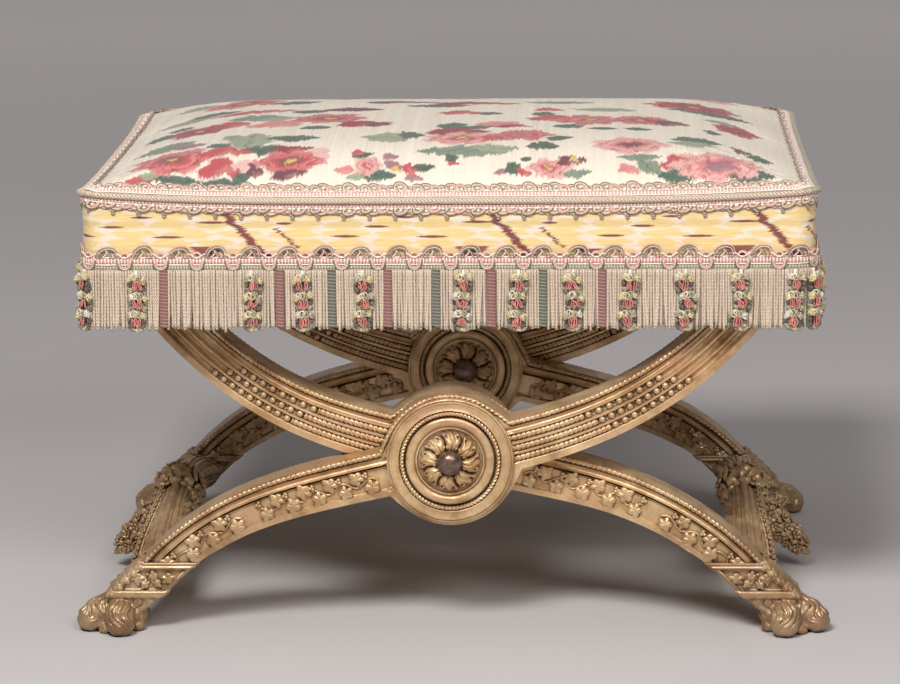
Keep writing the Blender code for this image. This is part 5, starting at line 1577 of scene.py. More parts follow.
def make_cover():
    """The top silk: a coarse cloth swollen by its stuffing, then a fine skin of it with the dyed pattern."""
    points, faces, rim = cover_sheet()
    coarse = Form()
    coarse.add(points, faces)
    piece = new_object("cover_sheet", coarse.mesh("cover_sheet"))
    top_count = COVER_ROWS * COVER_COLUMNS
    swell_out(piece, np.unique(np.concatenate([rim, np.arange(top_count, len(points))])))
    swollen = mesh_points(piece.data)[:top_count].reshape(COVER_ROWS, COVER_COLUMNS, 3)
    bpy.data.objects.remove(piece, do_unlink=True)
    top = np.einsum("ij,jkc->ikc", spread(COVER_ROWS, FINE_ROWS), swollen)
    top = np.einsum("ij,kjc->kic", spread(COVER_COLUMNS, FINE_COLUMNS), top)
    top[..., 2] += pull_folds(top[..., 0], top[..., 1])
    form = Form()
    tints = paint_top(top[..., 0].ravel(), top[..., 1].ravel())
    form.add(top, grid_faces(FINE_ROWS, FINE_COLUMNS), tints)
    edge = border(top)
    # the top's points come before the skirt's, so their numbers are negative here
    rim = border(np.arange(-FINE_ROWS * FINE_COLUMNS, 0).reshape(FINE_ROWS, FINE_COLUMNS))
    rings, faces = skirt(edge[:, :2], edge[:, 2], rim, 0)
    form.add(np.concatenate(rings), np.concatenate(faces), IVORY)
    cover = form.make("seat_cover_silk", TOP_SILK, ["seat_cover"])


RIM_FRONT = 4 * (HALF_Y - SEAT_CORNER) + 3 * (HALF_X - SEAT_CORNER) + 1.5 * math.pi * SEAT_CORNER

# The side silk: a repeat of dashes and broken slants, in metres along the band and above the floor
SIDE_REPEAT = 0.2336
DASHES = (
    (-0.062, 0.376, 0.0115), (-0.013, 0.367, 0.015), (0.027, 0.380, 0.0150), (0.090, 0.379, 0.0080),
    (0.144, 0.3675, 0.0130), (-0.036, 0.3845, 0.010), (0.118, 0.388, 0.011), (0.052, 0.348, 0.014),
    (-0.030, 0.346, 0.012),
)
SLANTS = (
    (0.034, 0.391, 0.066, 0.357, 0.0046), (0.0805, 0.375, 0.103, 0.357, 0.0020), (0.066, 0.358, 0.082, 0.338, 0.0045),
)
WEDGES = ((0.022, 0.3545, 0.017), (0.125, 0.352, 0.011), (0.070, 0.349, 0.013))
LENS_ROWS = 9
LENS_FIRST = 0.3365
LENS_SPACING = 0.0083
SIDE_YELLOW = np.array(linear(238, 206, 134))
SIDE_PALE = np.array(linear(238, 214, 164))
SIDE_MAROON = np.array(linear(126, 54, 60))


def paint_side(place, height):
    """The dyed pattern of the side silk, whose threads run along the band."""
    side = place + per_thread(height + 1, 0.0007, 0.0026, 21)
    colours = np.tile(IVORY * np.array([0.95, 0.90, 0.87]), (len(place), 1))
    draw = np.random.default_rng(5)
    for row in range(LENS_ROWS):
        middle = LENS_FIRST + row * LENS_SPACING
        count = 5 + row % 2
        period = SIDE_REPEAT / count
        turns = (side + draw.random() * period) / period
        lens = np.floor(turns + 0.5).astype(int) % count
        size = (0.74 + 0.34 * draw.random(6))[lens]
        u = (turns + 0.5) % 1.0 - 0.5
        reach = 0.0060 * size * np.clip(1 - (np.abs(u) / (0.40 + 0.09 * size)) ** 2.6, 0, 1)
        distance = np.abs(height - middle - 0.0008 * np.sin(turns * 9)) / np.maximum(reach, 1e-5)
        stain(colours, distance, SIDE_YELLOW, 0.95, 0.50)
        stain(colours, distance / 0.45, SIDE_PALE, 0.30, 0.6)
    cell = (place + 0.09) % SIDE_REPEAT - 0.09
    for middle, level, reach in DASHES:
        away = np.minimum(np.abs(cell - middle), np.abs(cell - middle + SIDE_REPEAT))
        thick = 0.0013 * np.clip(1 - (away / reach) ** 2, 0, 1)
        distance = np.where(thick > 0.00005, np.abs(height - level) / np.maximum(thick, 0.00005), 5.0)
        stain(colours, distance, SIDE_MAROON, 0.95, 0.25)
    ragged = cell + per_thread(height + 1, 0.0006, 0.0017, 23) + 0.0010 * np.sin(height * 700)
    for start, high, end, low, wide in SLANTS:
        share = (high - height) / (high - low)
        line = start + (end - start) * share
        inside = (share > 0) & (share < 1)
        stain(colours, np.where(inside, np.abs(ragged - line) / wide, 5.0), SIDE_MAROON, 0.95, 0.2)
    for middle, top, reach in WEDGES:
        drop = np.clip((top + 0.004 - height) / 0.016, 0, 1)
        half = reach * (1 - drop) * (height < top + 0.004)
        distance = np.where(half > 0.0001, np.abs(ragged - middle) / np.maximum(half, 0.0001), 5.0)
        stain(colours, distance, SIDE_MAROON, 0.9, 0.2)
    streak = 1 + 0.03 * per_thread(height + 1, 0.0009, 1.0, 31)
    return np.clip(colours * streak[:, None], 0, 1)


BAND_ROWS = 112
BAND_STEP = 0.00160
BAND_INSET = 0.0016
BAND_BULGE = 0.0022


def make_band():
    """The side silk, from under the fringe's heading up to the cord."""
    points, normals, along, total = seat_loop(BAND_STEP)
    dips = edge_dip(points[:, 0], points[:, 1])
    rings, tints = [], []
    for step in range(BAND_ROWS):
        share = step / (BAND_ROWS - 1)
        height = RAIL_BOTTOM + 0.0005 + (EDGE_HEIGHT - 0.0055 - RAIL_BOTTOM) * share - dips * share
        rise = (height - RAIL_BOTTOM) / (COVER_BOTTOM - RAIL_BOTTOM)
        bulge = np.where(rise < 1, BAND_BULGE * np.sin(math.pi * np.clip(rise, 0, 1)) ** 0.9, 0.0)
        out = bulge - BAND_INSET + 0.0020 * ease(rise, 0.80, 1.0)
        rings.append(np.column_stack([points + normals * out[:, None], height]))
        tints.append(paint_side(along - RIM_FRONT, height))
    form = Form()
    form.add(np.stack(rings), grid_faces(BAND_ROWS, len(points), wrap=True), np.concatenate(tints))
    band = form.make("side_band_silk", SIDE_SILK, ["side_band"])
    height = EDGE_HEIGHT - EDGE_DIP * 0.7 - RAIL_BOTTOM


# Trimmings

PINK = np.array(linear(236, 172, 164))
ROSE = np.array(linear(228, 156, 150))
CREAM = np.array(linear(250, 240, 224))
SAGE = np.array(linear(160, 159, 132))
MOSS = np.array(linear(119, 121, 97))
PALE_GREEN = np.array(linear(193, 186, 156))
BEIGE = np.array(linear(235, 210, 184))
MAROON = np.array(linear(138, 88, 80))
PALE_MAROON = np.array(linear(192, 160, 148))
DARK_GREEN = np.array(linear(97, 95, 81))
PALE_TEAL = np.array(linear(174, 172, 156))
TEAL = np.array(linear(118, 109, 94))
SOFT_YELLOW = np.array(linear(232, 214, 160))
CORAL = np.array(linear(238, 142, 130))
OLIVE = np.array(linear(142, 134, 108))
SMOKE = np.array(linear(156, 148, 130))


class Rim:
    """Places round the upholstered box, by the distance gone along its edge."""

    def __init__(self):
        self.points, self.normals, self.along, self.length = seat_loop(0.001)
        self.dips = edge_dip(self.points[:, 0], self.points[:, 1])

    def at(self, place):
        place = np.mod(place, self.length)
        columns = (*self.points.T, *self.normals.T, self.dips)
        values = [np.interp(place, self.along, column, period=self.length) for column in columns]
        return np.stack(values[:2], -1), unit(np.stack(values[2:4], -1)), values[4]

    def side(self, place, out, height, dipping=0.0):
        points, normals, dips = self.at(place)
        plan = points + normals * np.broadcast_to(out, np.shape(place))[..., None]
        return np.concatenate([plan, np.broadcast_to(height - dips * dipping, np.shape(place))[..., None]], -1)

    def top(self, place, inset, lift):
        points, normals, _ = self.at(place)
        plan = points - normals * np.broadcast_to(inset, np.shape(place))[..., None]
        height = crown_height(plan[..., 0], plan[..., 1]) + lift
        return np.concatenate([plan, height[..., None]], -1)

    def outward(self, place):
        normals = self.at(place)[1]
        return np.concatenate([normals, np.zeros_like(normals[..., :1])], -1)


RIM = Rim()
AROUND = np.arange(0, RIM.length, 0.002)
THREAD_SIDES = 5
FINE_THREAD = 0.00045


def thread(form, path, colour, radius, across=(0, 0, 1), closed=False):
    form.add(*tube(path, radius, THREAD_SIDES, across, closed=closed), colour)


def arch(start, width, low, high, steps, power):
    """A loop of thread from one foot over an arch to the other, as (place, height) columns."""
    t = np.linspace(0, 1, steps)
    bulge = 0.085 * width * np.sin(math.tau * t)
    return start + width * t - bulge, low + (high - low) * np.sin(math.pi * t) ** power


def stitches(form, map_to, pitch, low, high, colours, wide, thick=0.0011):
    """A row of short raised stitches side by side round the seat, in turn in each colour."""
    count = int(round(RIM.length / pitch))
    for i in range(count):
        place = (i + 0.5) * RIM.length / count
        ends = map_to(np.array([place, place + 1e-4, place]), np.array([low, low, high]))
        middle = (ends[0] + ends[2]) / 2
        ahead = unit(ends[1] - ends[0])
        rise = unit(ends[2] - ends[0])
        axes = np.stack([ahead, rise, unit(np.cross(ahead, rise))])
        size = (pitch * wide, np.linalg.norm(ends[2] - ends[0]) / 2 * 1.08, thick)
        form.add(*ball(middle, size, 2, axes), colours[i % len(colours)])


GIMP_PITCH = 0.0226
GIMP_COUNT = int(round(RIM.length / GIMP_PITCH))
GIMP_STEP = RIM.length / GIMP_COUNT
HEADING_PITCH = 0.0318
BRAID_PITCH = 0.0015
CORD_RADIUS = 0.0027
CORD_PITCH = 0.0034
CORD_DROP = 0.001
CORD_SIDES = 20
CORD_STRANDS = 5


# The colours that run side by side along each strand of the cord
CORD_TINTS = (MOSS * 0.55, PALE_GREEN * 0.9, BEIGE, PINK * 0.6 + BEIGE * 0.4, BEIGE)


def edge_cord():
    """The cord along the seat's edge, of five strands that are each part green, part beige and part pink."""
    form = Form()
    turns = round(RIM.length / CORD_PITCH)
    places = np.arange(turns * 5) * RIM.length / (turns * 5)
    path = RIM.side(places, CORD_RADIUS - 0.0003, EDGE_HEIGHT - CORD_DROP, 1.0)
    along = path_length(np.concatenate([path, path[:1]]))
    pitch = along[-1] / turns
    points, faces = rope(
        path, CORD_RADIUS, pitch, RIM.outward(places), CORD_SIDES, CORD_STRANDS, 0.26, closed=True)
    share = (CORD_STRANDS * ring_angles(CORD_SIDES)[None, :] / math.tau - along[:-1, None] / pitch) % 1.0
    tints = np.array(CORD_TINTS)[np.floor(share * len(CORD_TINTS)).astype(int)]
    form.add(points, faces, tints.reshape(-1, 3))
    form.make("edge_cord_twisted", YARN, ["edge_cord"])


def gimp_foot(form, map_to):
    """The row of pink and white stitches that a gimp's loops spring from."""
    stitches(form, lambda p, v: map_to(p, v, 0.0006), BRAID_PITCH, 0.0004, 0.0042, (PINK, CREAM), 0.60)
    for height in (0.0002, 0.0044):
        thread(form, map_to(AROUND, height, 0.0009), CREAM, 0.0006, closed=True)


def gimp_arches(form, map_to, flat):
    """One wide and two narrow leaning arches to each repeat, each round a cream picot."""
    bow = np.sin(math.pi * np.linspace(0, 1, 17))
    lean = 0.0022 * bow ** 1.2
    for i in range(GIMP_COUNT * 3):
        wide = i % 3 == 0
        start = RIM_FRONT + (i - 0.25 * wide) * GIMP_STEP / 3 + 0.0004 * rng.standard_normal()
        width = GIMP_STEP * (0.62 if wide else 0.47)
        tall = (0.0116, 0.0092, 0.0098)[i % 3] * flat + 0.0003 * rng.standard_normal()
        edge = (OLIVE * 0.8, PINK * 0.8, OLIVE)[i % 3]
        for shrink, colour, size in ((0.0, edge, 0.00056), (0.0010, BEIGE, 0.00056), (0.0020, PINK, 0.00036)):
            where, height = arch(start + shrink, width - 2 * shrink, 0.0040, tall - shrink, 17, 0.75)
            lift = 0.0012 + 0.0007 * bow * (i % 2) - 0.2 * shrink
            thread(form, map_to(where - lean, height, lift), colour, size)
        spot = map_to(np.array([start + width * 0.46]), np.array([tall - 0.0042]), 0.0010)[0]
        form.add(*ball(spot, (0.0015, 0.0013, 0.0013), 3), CREAM)


def upper_gimp(name, map_to, node):
    """The gimp on the top: arches over its stitches."""
    form = Form()
    gimp_foot(form, map_to)
    gimp_arches(form, map_to, 1.0)
    form.make(name, YARN, [node])


def lower_gimp(name, map_to, node):
    """The gimp under the cord: leaning arches, and a scalloped line with a small ring at each point."""
    form = Form()
    gimp_foot(form, map_to)
    gimp_arches(form, map_to, 0.92)
    t = np.linspace(0, 1, 23)
    turn = ring_angles(12)
    for i in range(GIMP_COUNT):
        start = RIM_FRONT + i * GIMP_STEP
        dip_in = 0.0126 - 0.0030 * np.sin(math.pi * t) ** 0.7 + 0.0005 * np.cos(6 * math.pi * t)
        for step, colour in ((0.0, OLIVE), (0.0009, BEIGE), (0.0018, PINK)):
            path = map_to(start + GIMP_STEP * t, dip_in - step, 0.0006 + 0.0002 * rng.random())
            thread(form, path, colour, FINE_THREAD)
        for radius, colour in ((0.0018, OLIVE), (0.0010, PINK)):
            ring = map_to(start + radius * np.cos(turn), 0.0130 + radius * np.sin(turn), 0.0013)
            thread(form, ring, colour, FINE_THREAD, closed=True)
    form.make(name, YARN, [node])


# The heading's slanting threads and its rings, each by its distance from the middle of a repeat
HEADING_SLANTS = (
    (-0.0050, 0.0040, MAROON), (-0.0036, 0.0042, CREAM), (0.0046, -0.0044, MOSS), (0.0032, -0.0040, PINK),
)
HEADING_RINGS = ((-0.0060, PALE_MAROON), (0.0058, PINK))


def heading():
    """The wide braid over the fringe: triple arches, a pink braid, scallops and a narrow green braid."""
    form = Form()

    def map_to(place, height, out):
        return RIM.side(place, 0.0003 + out, RAIL_BOTTOM + height)

    def line(where, height, out, colour, radius=0.0006, closed=False):
        thread(form, map_to(where, height, out), colour, radius, closed=closed)

    stitches(form, lambda p, v: map_to(p, v, 0.0014), 0.00145, 0.0058, 0.0118, (ROSE, CREAM), 0.62, 0.0015)
    for height in (0.0055, 0.0121):
        line(AROUND, height, 0.0017, CREAM, 0.0007, closed=True)
    stitches(form, lambda p, v: map_to(p, v, 0.0008), 0.0013, 0.0010, 0.0048, (BEIGE, SAGE), 0.6, 0.0010)
    # The two lowest threads, moss and sage, are dark as a painted shadow along the top of the fringe.
    for height, colour in ((0.0003, MOSS), (0.0009, SAGE)):
        line(AROUND, height, 0.0012, colour, closed=True)
    count = int(round(RIM.length / HEADING_PITCH))
    pitch = RIM.length / count
    start_at = RIM_FRONT + 0.003 - count // 2 * pitch
    turn = ring_angles(12)
    t = np.linspace(0, 1, 9)
    for i in range(count):
        start = start_at + i * pitch
        for k, colour in enumerate((MOSS, BEIGE, PINK)):
            shrink = k * 0.0012
            where, height = arch(start - 0.0068 + shrink, 0.0136 - 2 * shrink, 0.0098, 0.0004 + shrink, 17, 0.62)
            line(where, height, 0.0031, colour)
        middle = start + pitch / 2
        sway = 0.0005 * rng.standard_normal(2)
        for k, colour in enumerate((PINK, OLIVE, BEIGE, MOSS)):
            shrink = k * 0.0010
            drift = sway + 0.0003 * rng.standard_normal(2)
            foot = middle - 0.0104 + shrink + drift[0]
            where, height = arch(foot, 0.0208 - 2 * shrink, 0.0120, 0.0226 - shrink + drift[1], 21, 0.8)
            where = where + 0.0018 * np.sin(math.pi * np.linspace(0, 1, 21))
            line(where, height, 0.0020 + 0.0003 * k, colour, 0.0005)
        for shift, lean, colour in HEADING_SLANTS:
            where = middle + shift + lean * t + 0.0012 * np.sin(math.pi * t)
            line(where, 0.0122 + 0.0066 * t, 0.0030, colour, 0.0005)
        for shift, colour in HEADING_RINGS:
            where = middle + shift + 0.0016 * np.cos(turn)
            line(where, 0.0138 + 0.0018 * np.sin(turn), 0.0030, colour, 0.0005, closed=True)
        for k, colour in enumerate((PINK, BEIGE)):
            foot = start - 0.0044 + 0.001 * k
            where, height = arch(foot, 0.0088 - 0.002 * k, 0.0120, 0.0172 - 0.001 * k, 13, 0.7)
            line(where, height, 0.0026, colour)
        for side in (-1, 1):
            where = middle + side * np.linspace(0.0086, pitch / 2, 9)
            line(where, 0.0136 + 0.0018 * np.cos(np.linspace(0, math.pi, 9)), 0.0028, CREAM)
    form.make("fringe_heading_braid", YARN, ["fringe_heading"])


CORD_STEP = 0.00236
CORDLET_SIDES = 6
CORDLET_RADIUS = 0.00112
STRIP_GAP = 0.0040
STRIP_RINGS = 140
STRIP_SIDES = 10
STRIP_HALF_WIDTH = 0.0040
STRIP_HALF_DEPTH = 0.0016
WRAP_PITCH = 0.0015
FRINGE_LENGTH = 0.0525
FRINGE_TOP = RAIL_BOTTOM + 0.001
TASSEL_TOP = FRINGE_TOP - 0.0005
CLUSTER_START = 0.0105
CLUSTER_PITCH = 0.0165
FRONT_TASSELS = (-0.2747, -0.1728, -0.1277, -0.0749, 0.0139, 0.0628, 0.1106, 0.1605, 0.2094, 0.2578, 0.3048)
FRONT_STRIPS = (
    (-0.2505, MAROON), (-0.1480, MAROON), (-0.1021, DARK_GREEN), (-0.0527, MAROON), (-0.0095, DARK_GREEN),
    (0.0387, MAROON), (0.0839, DARK_GREEN), (0.1360, MAROON), (0.3235, MAROON),
)
SIDE_TASSEL_PITCH = 0.0487
# Half the length of a side of the fringe, which runs to the middle of a corner
REACH_X = HALF_X - SEAT_CORNER + SEAT_CORNER * math.pi / 4
REACH_Y = HALF_Y - SEAT_CORNER + SEAT_CORNER * math.pi / 4


def fringe_places():
    """Where tassels and wrapped strips hang, by the distance along the edge."""
    tassels = [RIM_FRONT + x for x in FRONT_TASSELS]
    strips = [(RIM_FRONT + x, colour) for x, colour in FRONT_STRIPS]
    tassels += [RIM_FRONT - REACH_X, RIM_FRONT + REACH_X]
    middle = RIM_FRONT + REACH_X
    for side, length in (("right", 2 * REACH_Y), ("back", 2 * REACH_X), ("left", 2 * REACH_Y)):
        count = round(length / SIDE_TASSEL_PITCH)
        for i in range(1, count + 1):
            spot = middle + length * i / count
            if i < count or side != "left":
                tassels.append(spot)
            if i % 4 != 1:
                strips.append((spot - length / count / 2, MAROON if i % 2 else DARK_GREEN))
        middle += length
    return tassels, strips


def hanging_cord(place, length, sway, inner=0.0, rings=13):
    """Middle line of a cord of the fringe, which hangs a little away from the rail."""
    t = np.linspace(0, 1, rings)
    out = 0.0030 + 0.0022 * t ** 1.5 - inner
    points, normals, _ = RIM.at(np.full(rings, place) + sway * t ** 2)
    height = FRINGE_TOP - length * t
    return np.concatenate([points + normals * out[:, None], height[:, None]], -1)


def fringe_cords(form, first, last, strips):
    """One side's hanging cords, in two rows with the inner one painted dark as shade between the cords, and gaps for
    its wrapped strips.
    """
    strip_spots = np.array([spot for spot, _ in strips])
    turn = np.arange(CORDLET_SIDES) / CORDLET_SIDES * 2
    for row, inner in ((0, 0.0), (1, 0.0015)):
        for place in np.arange(first + row * CORD_STEP / 2, last, CORD_STEP):
            apart = np.abs((place - strip_spots + RIM.length / 2) % RIM.length - RIM.length / 2)
            if apart.min() < STRIP_GAP:
                continue
            length = FRINGE_LENGTH + 0.0011 * rng.standard_normal() - 0.002 * row
            spot = place + 0.00020 * rng.standard_normal()
            path = hanging_cord(spot, length, 0.0009 * rng.standard_normal(), inner)
            # Painted shade: the inner row is half as bright, as the shade in the gaps between the front cords.
            tint = BEIGE * (0.90 + 0.16 * rng.random()) * (1.0 - 0.50 * row)
            radii = np.full((len(path), CORDLET_SIDES), CORDLET_RADIUS)
            radii[-1] *= 1.2
            points, faces = tube(path, radii, CORDLET_SIDES, RIM.outward(np.full(len(path), place)))
            drop = (path[0, 2] - path[:, 2])[:, None] / 0.0030
            form.add(points, faces, tint, twist=(turn[None, :] + drop).ravel())


def wrapped_strip(form, spot, colour):
    """A flat strip of the fringe, wrapped in thread with a paler turn here and there."""
    phase = np.linspace(0, 1, STRIP_RINGS) * FRINGE_LENGTH / WRAP_PITCH
    centre = hanging_cord(spot, FRINGE_LENGTH * 0.97, 0.0, rings=STRIP_RINGS)
    out = RIM.outward(np.full(STRIP_RINGS, spot))
    aside = np.cross(out, (0, 0, 1.0))
    bulge = 0.5 + 0.5 * np.abs(np.sin(math.pi * phase))
    angle = ring_angles(STRIP_SIDES)
    wide = STRIP_HALF_WIDTH * (0.92 + 0.08 * bulge)[:, None] * np.cos(angle)[None, :]
    thick = STRIP_HALF_DEPTH * (0.7 + 0.3 * bulge)[:, None] * np.sin(angle)[None, :]
    points = centre[:, None] + aside[:, None] * wide[..., None] + out[:, None] * (thick + 0.0004)[..., None]
    points[..., 2] += wide * 0.10
    pale = PALE_MAROON if colour is MAROON else PALE_TEAL
    share = (np.floor(phase * 2).astype(int) % 4 == 3)[:, None, None] * 0.8
    tint = colour + (pale - colour) * share + np.zeros((STRIP_RINGS, STRIP_SIDES, 1))
    form.add(points, skin_faces(STRIP_RINGS, STRIP_SIDES), tint.reshape(-1, 3))


def fringe(side_name, first, last, strips):
    """One side's hanging cords, and its wrapped strips."""
    form = Form()
    fringe_cords(form, first, last, strips)
    for spot, colour in strips:
        if (spot - first) % RIM.length <= last - first:
            wrapped_strip(form, spot, colour)
    form.make(f"{side_name}_fringe_cords", YARN, [f"{side_name}_fringe"])


def tuft(form, centre, ahead, size, colour, fibres):
    """A cut tuft of silk that fans out from its tied root."""
    ahead = unit(np.asarray(ahead, float))
    side = unit(np.cross(ahead, (0.31, 0.52, 0.79)))
    other = np.cross(ahead, side)
    for k in range(fibres):
        turn = GOLDEN_TURN * k
        way = side * math.cos(turn) + other * math.sin(turn)
        way = unit(ahead + way * 0.85 * math.sqrt((k + 0.5) / fibres))
        tip = centre + way * size * (0.88 + 0.2 * rng.random())
        path = np.stack([centre, centre + (tip - centre) * 0.6, tip])
        points, faces = tube(path, np.array([0.0004, 0.0007, 0.0008]) * size / 0.0055, 4, side + 0.3 * other)
        form.add(points, faces, colour * (0.70 + 0.42 * rng.random()))


def tassel(form, place):
    """Three clusters of knots, loops and tufts, one under the other."""
    points, normals, _ = RIM.at(np.array([place]))
    out = np.array([*normals[0], 0.0])
    aside = np.array([-out[1], out[0], 0.0])
    up = np.array([0.0, 0.0, 1.0])
    root = np.array([*points[0], 0.0]) + out * 0.0062
    turn = ring_angles(14)

    def at(across, height, depth):
        across, height, depth = (np.asarray(value, float)[..., None] for value in (across, height, depth))
        return root + aside * across + up * height + out * depth

    def one_of(*colours):
        return colours[int(rng.random() * len(colours))]

    for shift in (-0.0015, 0.0, 0.0015):
        path = np.stack([at(shift * 0.3, FRINGE_TOP, -0.001), at(shift, TASSEL_TOP - 0.006, 0.0)])
        thread(form, resample(path, 0.002), CREAM, 0.0006, out)
    for level in range(3):
        middle = TASSEL_TOP - CLUSTER_START - CLUSTER_PITCH * level
        lean = 0.0014 * rng.standard_normal()
        for sign in (-1, 1):
            yellow = SOFT_YELLOW if rng.random() < 0.6 else one_of(CREAM * 0.85, PALE_GREEN)
            depth = 0.0005 + 0.002 * rng.random()
            spot = at(lean + sign * 0.0026, middle + 0.0014 + 0.003 * rng.random(), depth)
            tuft(form, spot, aside * sign + up * (0.5 * rng.random()) + out * 0.2, 0.0056, yellow, 36)
            grey = one_of(SMOKE, TEAL, PALE_GREEN)
            spot = at(lean + sign * 0.0040, middle - 0.0016 + 0.002 * rng.random(), -0.0004)
            tuft(form, spot, aside * sign + out * 0.3, 0.0044, one_of(TEAL, SMOKE), 26)
            spot = at(lean + sign * 0.0022, middle - 0.0042 - 0.001 * rng.random(), -0.0006)
            tuft(form, spot, aside * sign * 0.9 - up * 0.5, 0.0056, grey, 32)
        form.add(*ball(at(lean, middle - 0.001, -0.0010), (0.0022, 0.0020, 0.0040), 3), MAROON * 0.5)
        for k in range(3):
            across = lean + (k - 1) * 0.0025 + 0.0005 * rng.standard_normal()
            tall = 0.0042 - 0.0004 * abs(k - 1) + 0.0006 * rng.standard_normal()
            depth = 0.0034 - 0.0006 * (k - 1) ** 2 + 0.0008 * rng.random()
            slope = 0.25 * rng.standard_normal()
            across = across + 0.0011 * np.sin(turn) + slope * 0.004 * np.cos(turn)
            ring = at(across, middle - 0.0020 + tall * np.cos(turn), depth + 0.0006 * np.sin(turn))
            thread(form, ring, CORAL * (0.72 + 0.40 * rng.random()), 0.00054, out, closed=True)
        for k, colour in enumerate((CREAM, SOFT_YELLOW, PALE_GREEN, SAGE)):
            across = lean + (k - 1.5) * 0.0021 + 0.0005 * rng.standard_normal()
            tall = 0.0024 + 0.0010 * rng.random()
            height = middle + 0.0046 + 0.0014 * rng.random()
            tip = rng.random() * 1.2 - 0.6
            across = across + tall * (np.sin(turn) + tip * np.cos(turn)) * 0.85
            ring = at(across, height + tall * np.cos(turn), 0.0034 + 0.0008 * np.sin(2 * turn))
            thread(form, ring, colour, 0.00052, out, closed=True)
    low = TASSEL_TOP - CLUSTER_START - CLUSTER_PITCH * 2 - 0.0060
    for sign, colour in ((-1, SMOKE), (0, SOFT_YELLOW), (1, PALE_GREEN)):
        tuft(form, at(sign * 0.0022, low, 0.0), -up + aside * sign * 0.7, 0.0050, colour, 18)


def make_trims():
    edge_cord()

    def under_cord(place, down, out):
        return RIM.side(place, 0.0003 + out, EDGE_HEIGHT - CORD_DROP - CORD_RADIUS + 0.0006 - down, 1.0)

    def over_cord(place, inset, out):
        return RIM.top(place, 0.0012 + np.asarray(inset) * 1.05, 0.0004 + out)

    lower_gimp("lower_edge_gimp_looped", under_cord, "lower_edge_gimp")
    upper_gimp("upper_edge_gimp_looped", over_cord, "upper_edge_gimp")
    heading()
    tassels, strips = fringe_places()
    first = RIM_FRONT - REACH_X
    for name, reach in (("front", REACH_X), ("right", REACH_Y), ("back", REACH_X), ("left", REACH_Y)):
        length = 2 * reach
        fringe(name, first, first + length, strips)
        form = Form()
        for place in tassels:
            if (place - first + 1e-6) % RIM.length < length:
                tassel(form, place)
        form.make(f"{name}_tassels", YARN)
        first += length


# Dust cloth under the seat

TACK_PITCH = 0.028
TACK_INSET = 0.006
TACK_SIZE = (0.0042, 0.0042, 0.0012)
LINEN_ROWS = 90
LINEN_COLUMNS = 120
LINEN_SAG = 0.0030


def make_dust_cloth():
    """The linen cloth tacked under the rails, sagging a little between them."""
    low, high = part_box("dust_cloth")
    across = np.linspace(low[0], high[0], LINEN_COLUMNS)[None, :] + np.zeros((LINEN_ROWS, 1))
    along = np.linspace(low[1], high[1], LINEN_ROWS)[:, None] + np.zeros((1, LINEN_COLUMNS))
    u, v = across / high[0], along / high[1]
    slack = np.clip((1 - u ** 4) * (1 - v ** 4), 0, 1)
    pull = 0.0004 * np.sin(across / TACK_PITCH * math.tau) * np.abs(v) ** 6
    pull = pull + 0.0004 * np.sin(along / TACK_PITCH * math.tau) * np.abs(u) ** 6
    height = (low[2] + high[2]) / 2 - LINEN_SAG * slack + pull
    form = Form()
    form.add(np.stack([across, along, height], -1), grid_faces(LINEN_ROWS, LINEN_COLUMNS, flip=True))
    cloth = form.make("dust_cloth_linen", LINEN, ["dust_cloth"])
    edge_x, edge_y = high[0] - TACK_INSET, high[1] - TACK_INSET
    places = [(side * edge_x, y) for side in (-1, 1) for y in np.arange(low[1] + 0.012, high[1] - 0.010, TACK_PITCH)]
    places += [(x, side * edge_y) for side in (-1, 1) for x in np.arange(low[0] + 0.026, high[0] - 0.020, TACK_PITCH)]
    tacks = Form()
    for x, y in places:
        tacks.add(*ball((x, y, low[2] - 0.0004), TACK_SIZE, 4))
    tacks.make("dust_cloth_tacks", IRON)


# Camera, lights and floor

def add_camera():
    yaw, pitch, roll = (math.radians(v) for v in (CAMERA_YAW, CAMERA_PITCH, CAMERA_ROLL))
    ahead = Vector((math.sin(yaw) * math.cos(pitch), math.cos(yaw) * math.cos(pitch), -math.sin(pitch)))
    level = Vector((math.cos(yaw), -math.sin(yaw), 0.0))
    above = level.cross(ahead)
    right = math.cos(roll) * level + math.sin(roll) * above
    up = -math.sin(roll) * level + math.cos(roll) * above
    data = bpy.data.cameras.new("camera")
    data.lens = CAMERA_LENS
    data.sensor_width = 36.0
    data.sensor_fit = "HORIZONTAL"
    camera = new_object("camera", data)
    turn = Matrix((right, up, -ahead)).transposed().to_4x4()
    camera.matrix_world = Matrix.Translation(CAMERA_PLACE) @ turn
    bpy.context.scene.camera = camera


# Each lamp's place, the point it is turned to, its size and its power in watts
LAMPS = {
    "key": ((-0.68, -2.6, 2.85), (0, 0, 0.25), (1.1, 0.9), 114),
    "fill": ((1.3, -2.9, 2.4), (0, 0, 0.2), (1.2, 1.2), 44),
    "top": ((0.0, -0.1, 2.6), (0, 0, 0.4), (1.6, 1.6), 8),
}
SKY = 0.11
# The floor runs level to behind the stool, then bends up into a wall that views from behind don't reach
FLOOR_HALF = 14.0
FLOOR_BACK = 5.2
BEND_RADIUS = 1.6
WALL_TOP = 8.0
FLOOR_DARK = linear(194, 188, 187)
FLOOR_LIGHT = linear(200, 194, 193)
# The glow of what the lamps don't reach, by the distance from the stool's middle
GLOW_FROM = 0.9
GLOW_TO = 4.4
GLOW = 0.19
GLOW_TINT = linear(250, 243, 242)


def add_light(name, place, target, size, power):
    data = bpy.data.lights.new(name, "AREA")
    data.shape = "RECTANGLE"
    data.size, data.size_y = size
    data.energy = power
    light = new_object(name, data)
    light.location = place
    light.rotation_euler = (Vector(target) - Vector(place)).to_track_quat("-Z", "Y").to_euler()


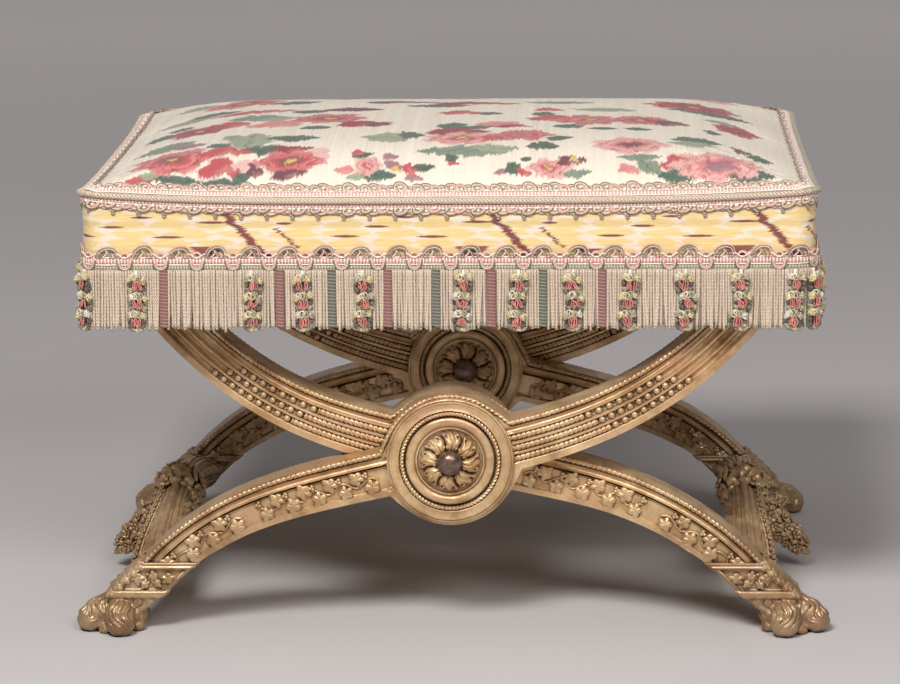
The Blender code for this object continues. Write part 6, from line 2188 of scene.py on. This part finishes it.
def floor_finish():
    """Pale grey, glowing a little far from the stool for the camera and for reflections."""
    finish = Finish("pale_floor", roughness=0.9)
    grey = finish.ramp(finish.noise(2.0, 2.0), (0.0, FLOOR_DARK), (1.0, FLOOR_LIGHT))
    rays = finish.node("LightPath").outputs
    seen = finish.calc("MAXIMUM", rays["Is Camera Ray"], rays["Is Glossy Ray"])
    seen = finish.calc("MAXIMUM", rays["Is Transmission Ray"], seen)
    away = finish.node("VectorMath", {0: finish.place}, operation="LENGTH").outputs["Value"]
    glow = finish.node("MapRange", {"Value": away, "From Min": GLOW_FROM, "From Max": GLOW_TO, "To Max": GLOW})
    finish.shader.inputs["Emission Color"].default_value = (*GLOW_TINT, 1.0)
    strength = finish.calc("MULTIPLY", glow.outputs["Result"], seen)
    finish.tree.links.new(strength, finish.shader.inputs["Emission Strength"])
    return finish.done(grey)


def add_stage():
    """A pale floor that runs up into a far backdrop, and soft light from all sides."""
    profile = [(-FLOOR_HALF, 0.0), (FLOOR_BACK, 0.0)]
    for step in range(1, 13):
        angle = math.radians(step * 90 / 12)
        profile.append((FLOOR_BACK + BEND_RADIUS * math.sin(angle), BEND_RADIUS - BEND_RADIUS * math.cos(angle)))
    profile.append((FLOOR_BACK + BEND_RADIUS, WALL_TOP))
    form = Form()
    form.add([(x, y, z) for y, z in profile for x in (-FLOOR_HALF, FLOOR_HALF)], grid_faces(len(profile), 2))
    mesh = form.mesh("floor")
    mesh.materials.append(floor_finish())
    mesh.shade_smooth()
    floor = new_object("floor", mesh)
    world = bpy.data.worlds.new("studio")
    bpy.context.scene.world = world
    world.use_nodes = True
    background = world.node_tree.nodes["Background"]
    background.inputs["Color"].default_value = (1.0, 0.99, 0.98, 1.0)
    background.inputs["Strength"].default_value = SKY
    for name, (place, target, size, power) in LAMPS.items():
        add_light(name, place, target, size, power)


# CAD solids that stay in view

KEPT = {
    "beech": BEECH, "webbing": WEBBING, "linen": LINEN, "horsehair": HAIR, "giltwood": GILT, "dark_iron": IRON,
    "gimp": YARN, "fringe": YARN, "top_silk": TOP_SILK, "side_silk": SIDE_SILK,
}


def dress_solids():
    slots = {row["node"]: row["material_slot"] for row in frame["record"]["subparts"]}
    for name, solid in frame["nodes"].items():
        finish = KEPT[slots[name]]
        for slot in solid.material_slots:
            slot.material = finish
        if not solid.material_slots:
            solid.data.materials.append(finish)


bpy.context.scene.view_settings.view_transform = "Standard"
add_camera()
add_stage()
dress_solids()
make_bars()
make_medallions()
make_feet()
make_stretchers()
make_cover()
make_band()
make_trims()
make_dust_cloth()
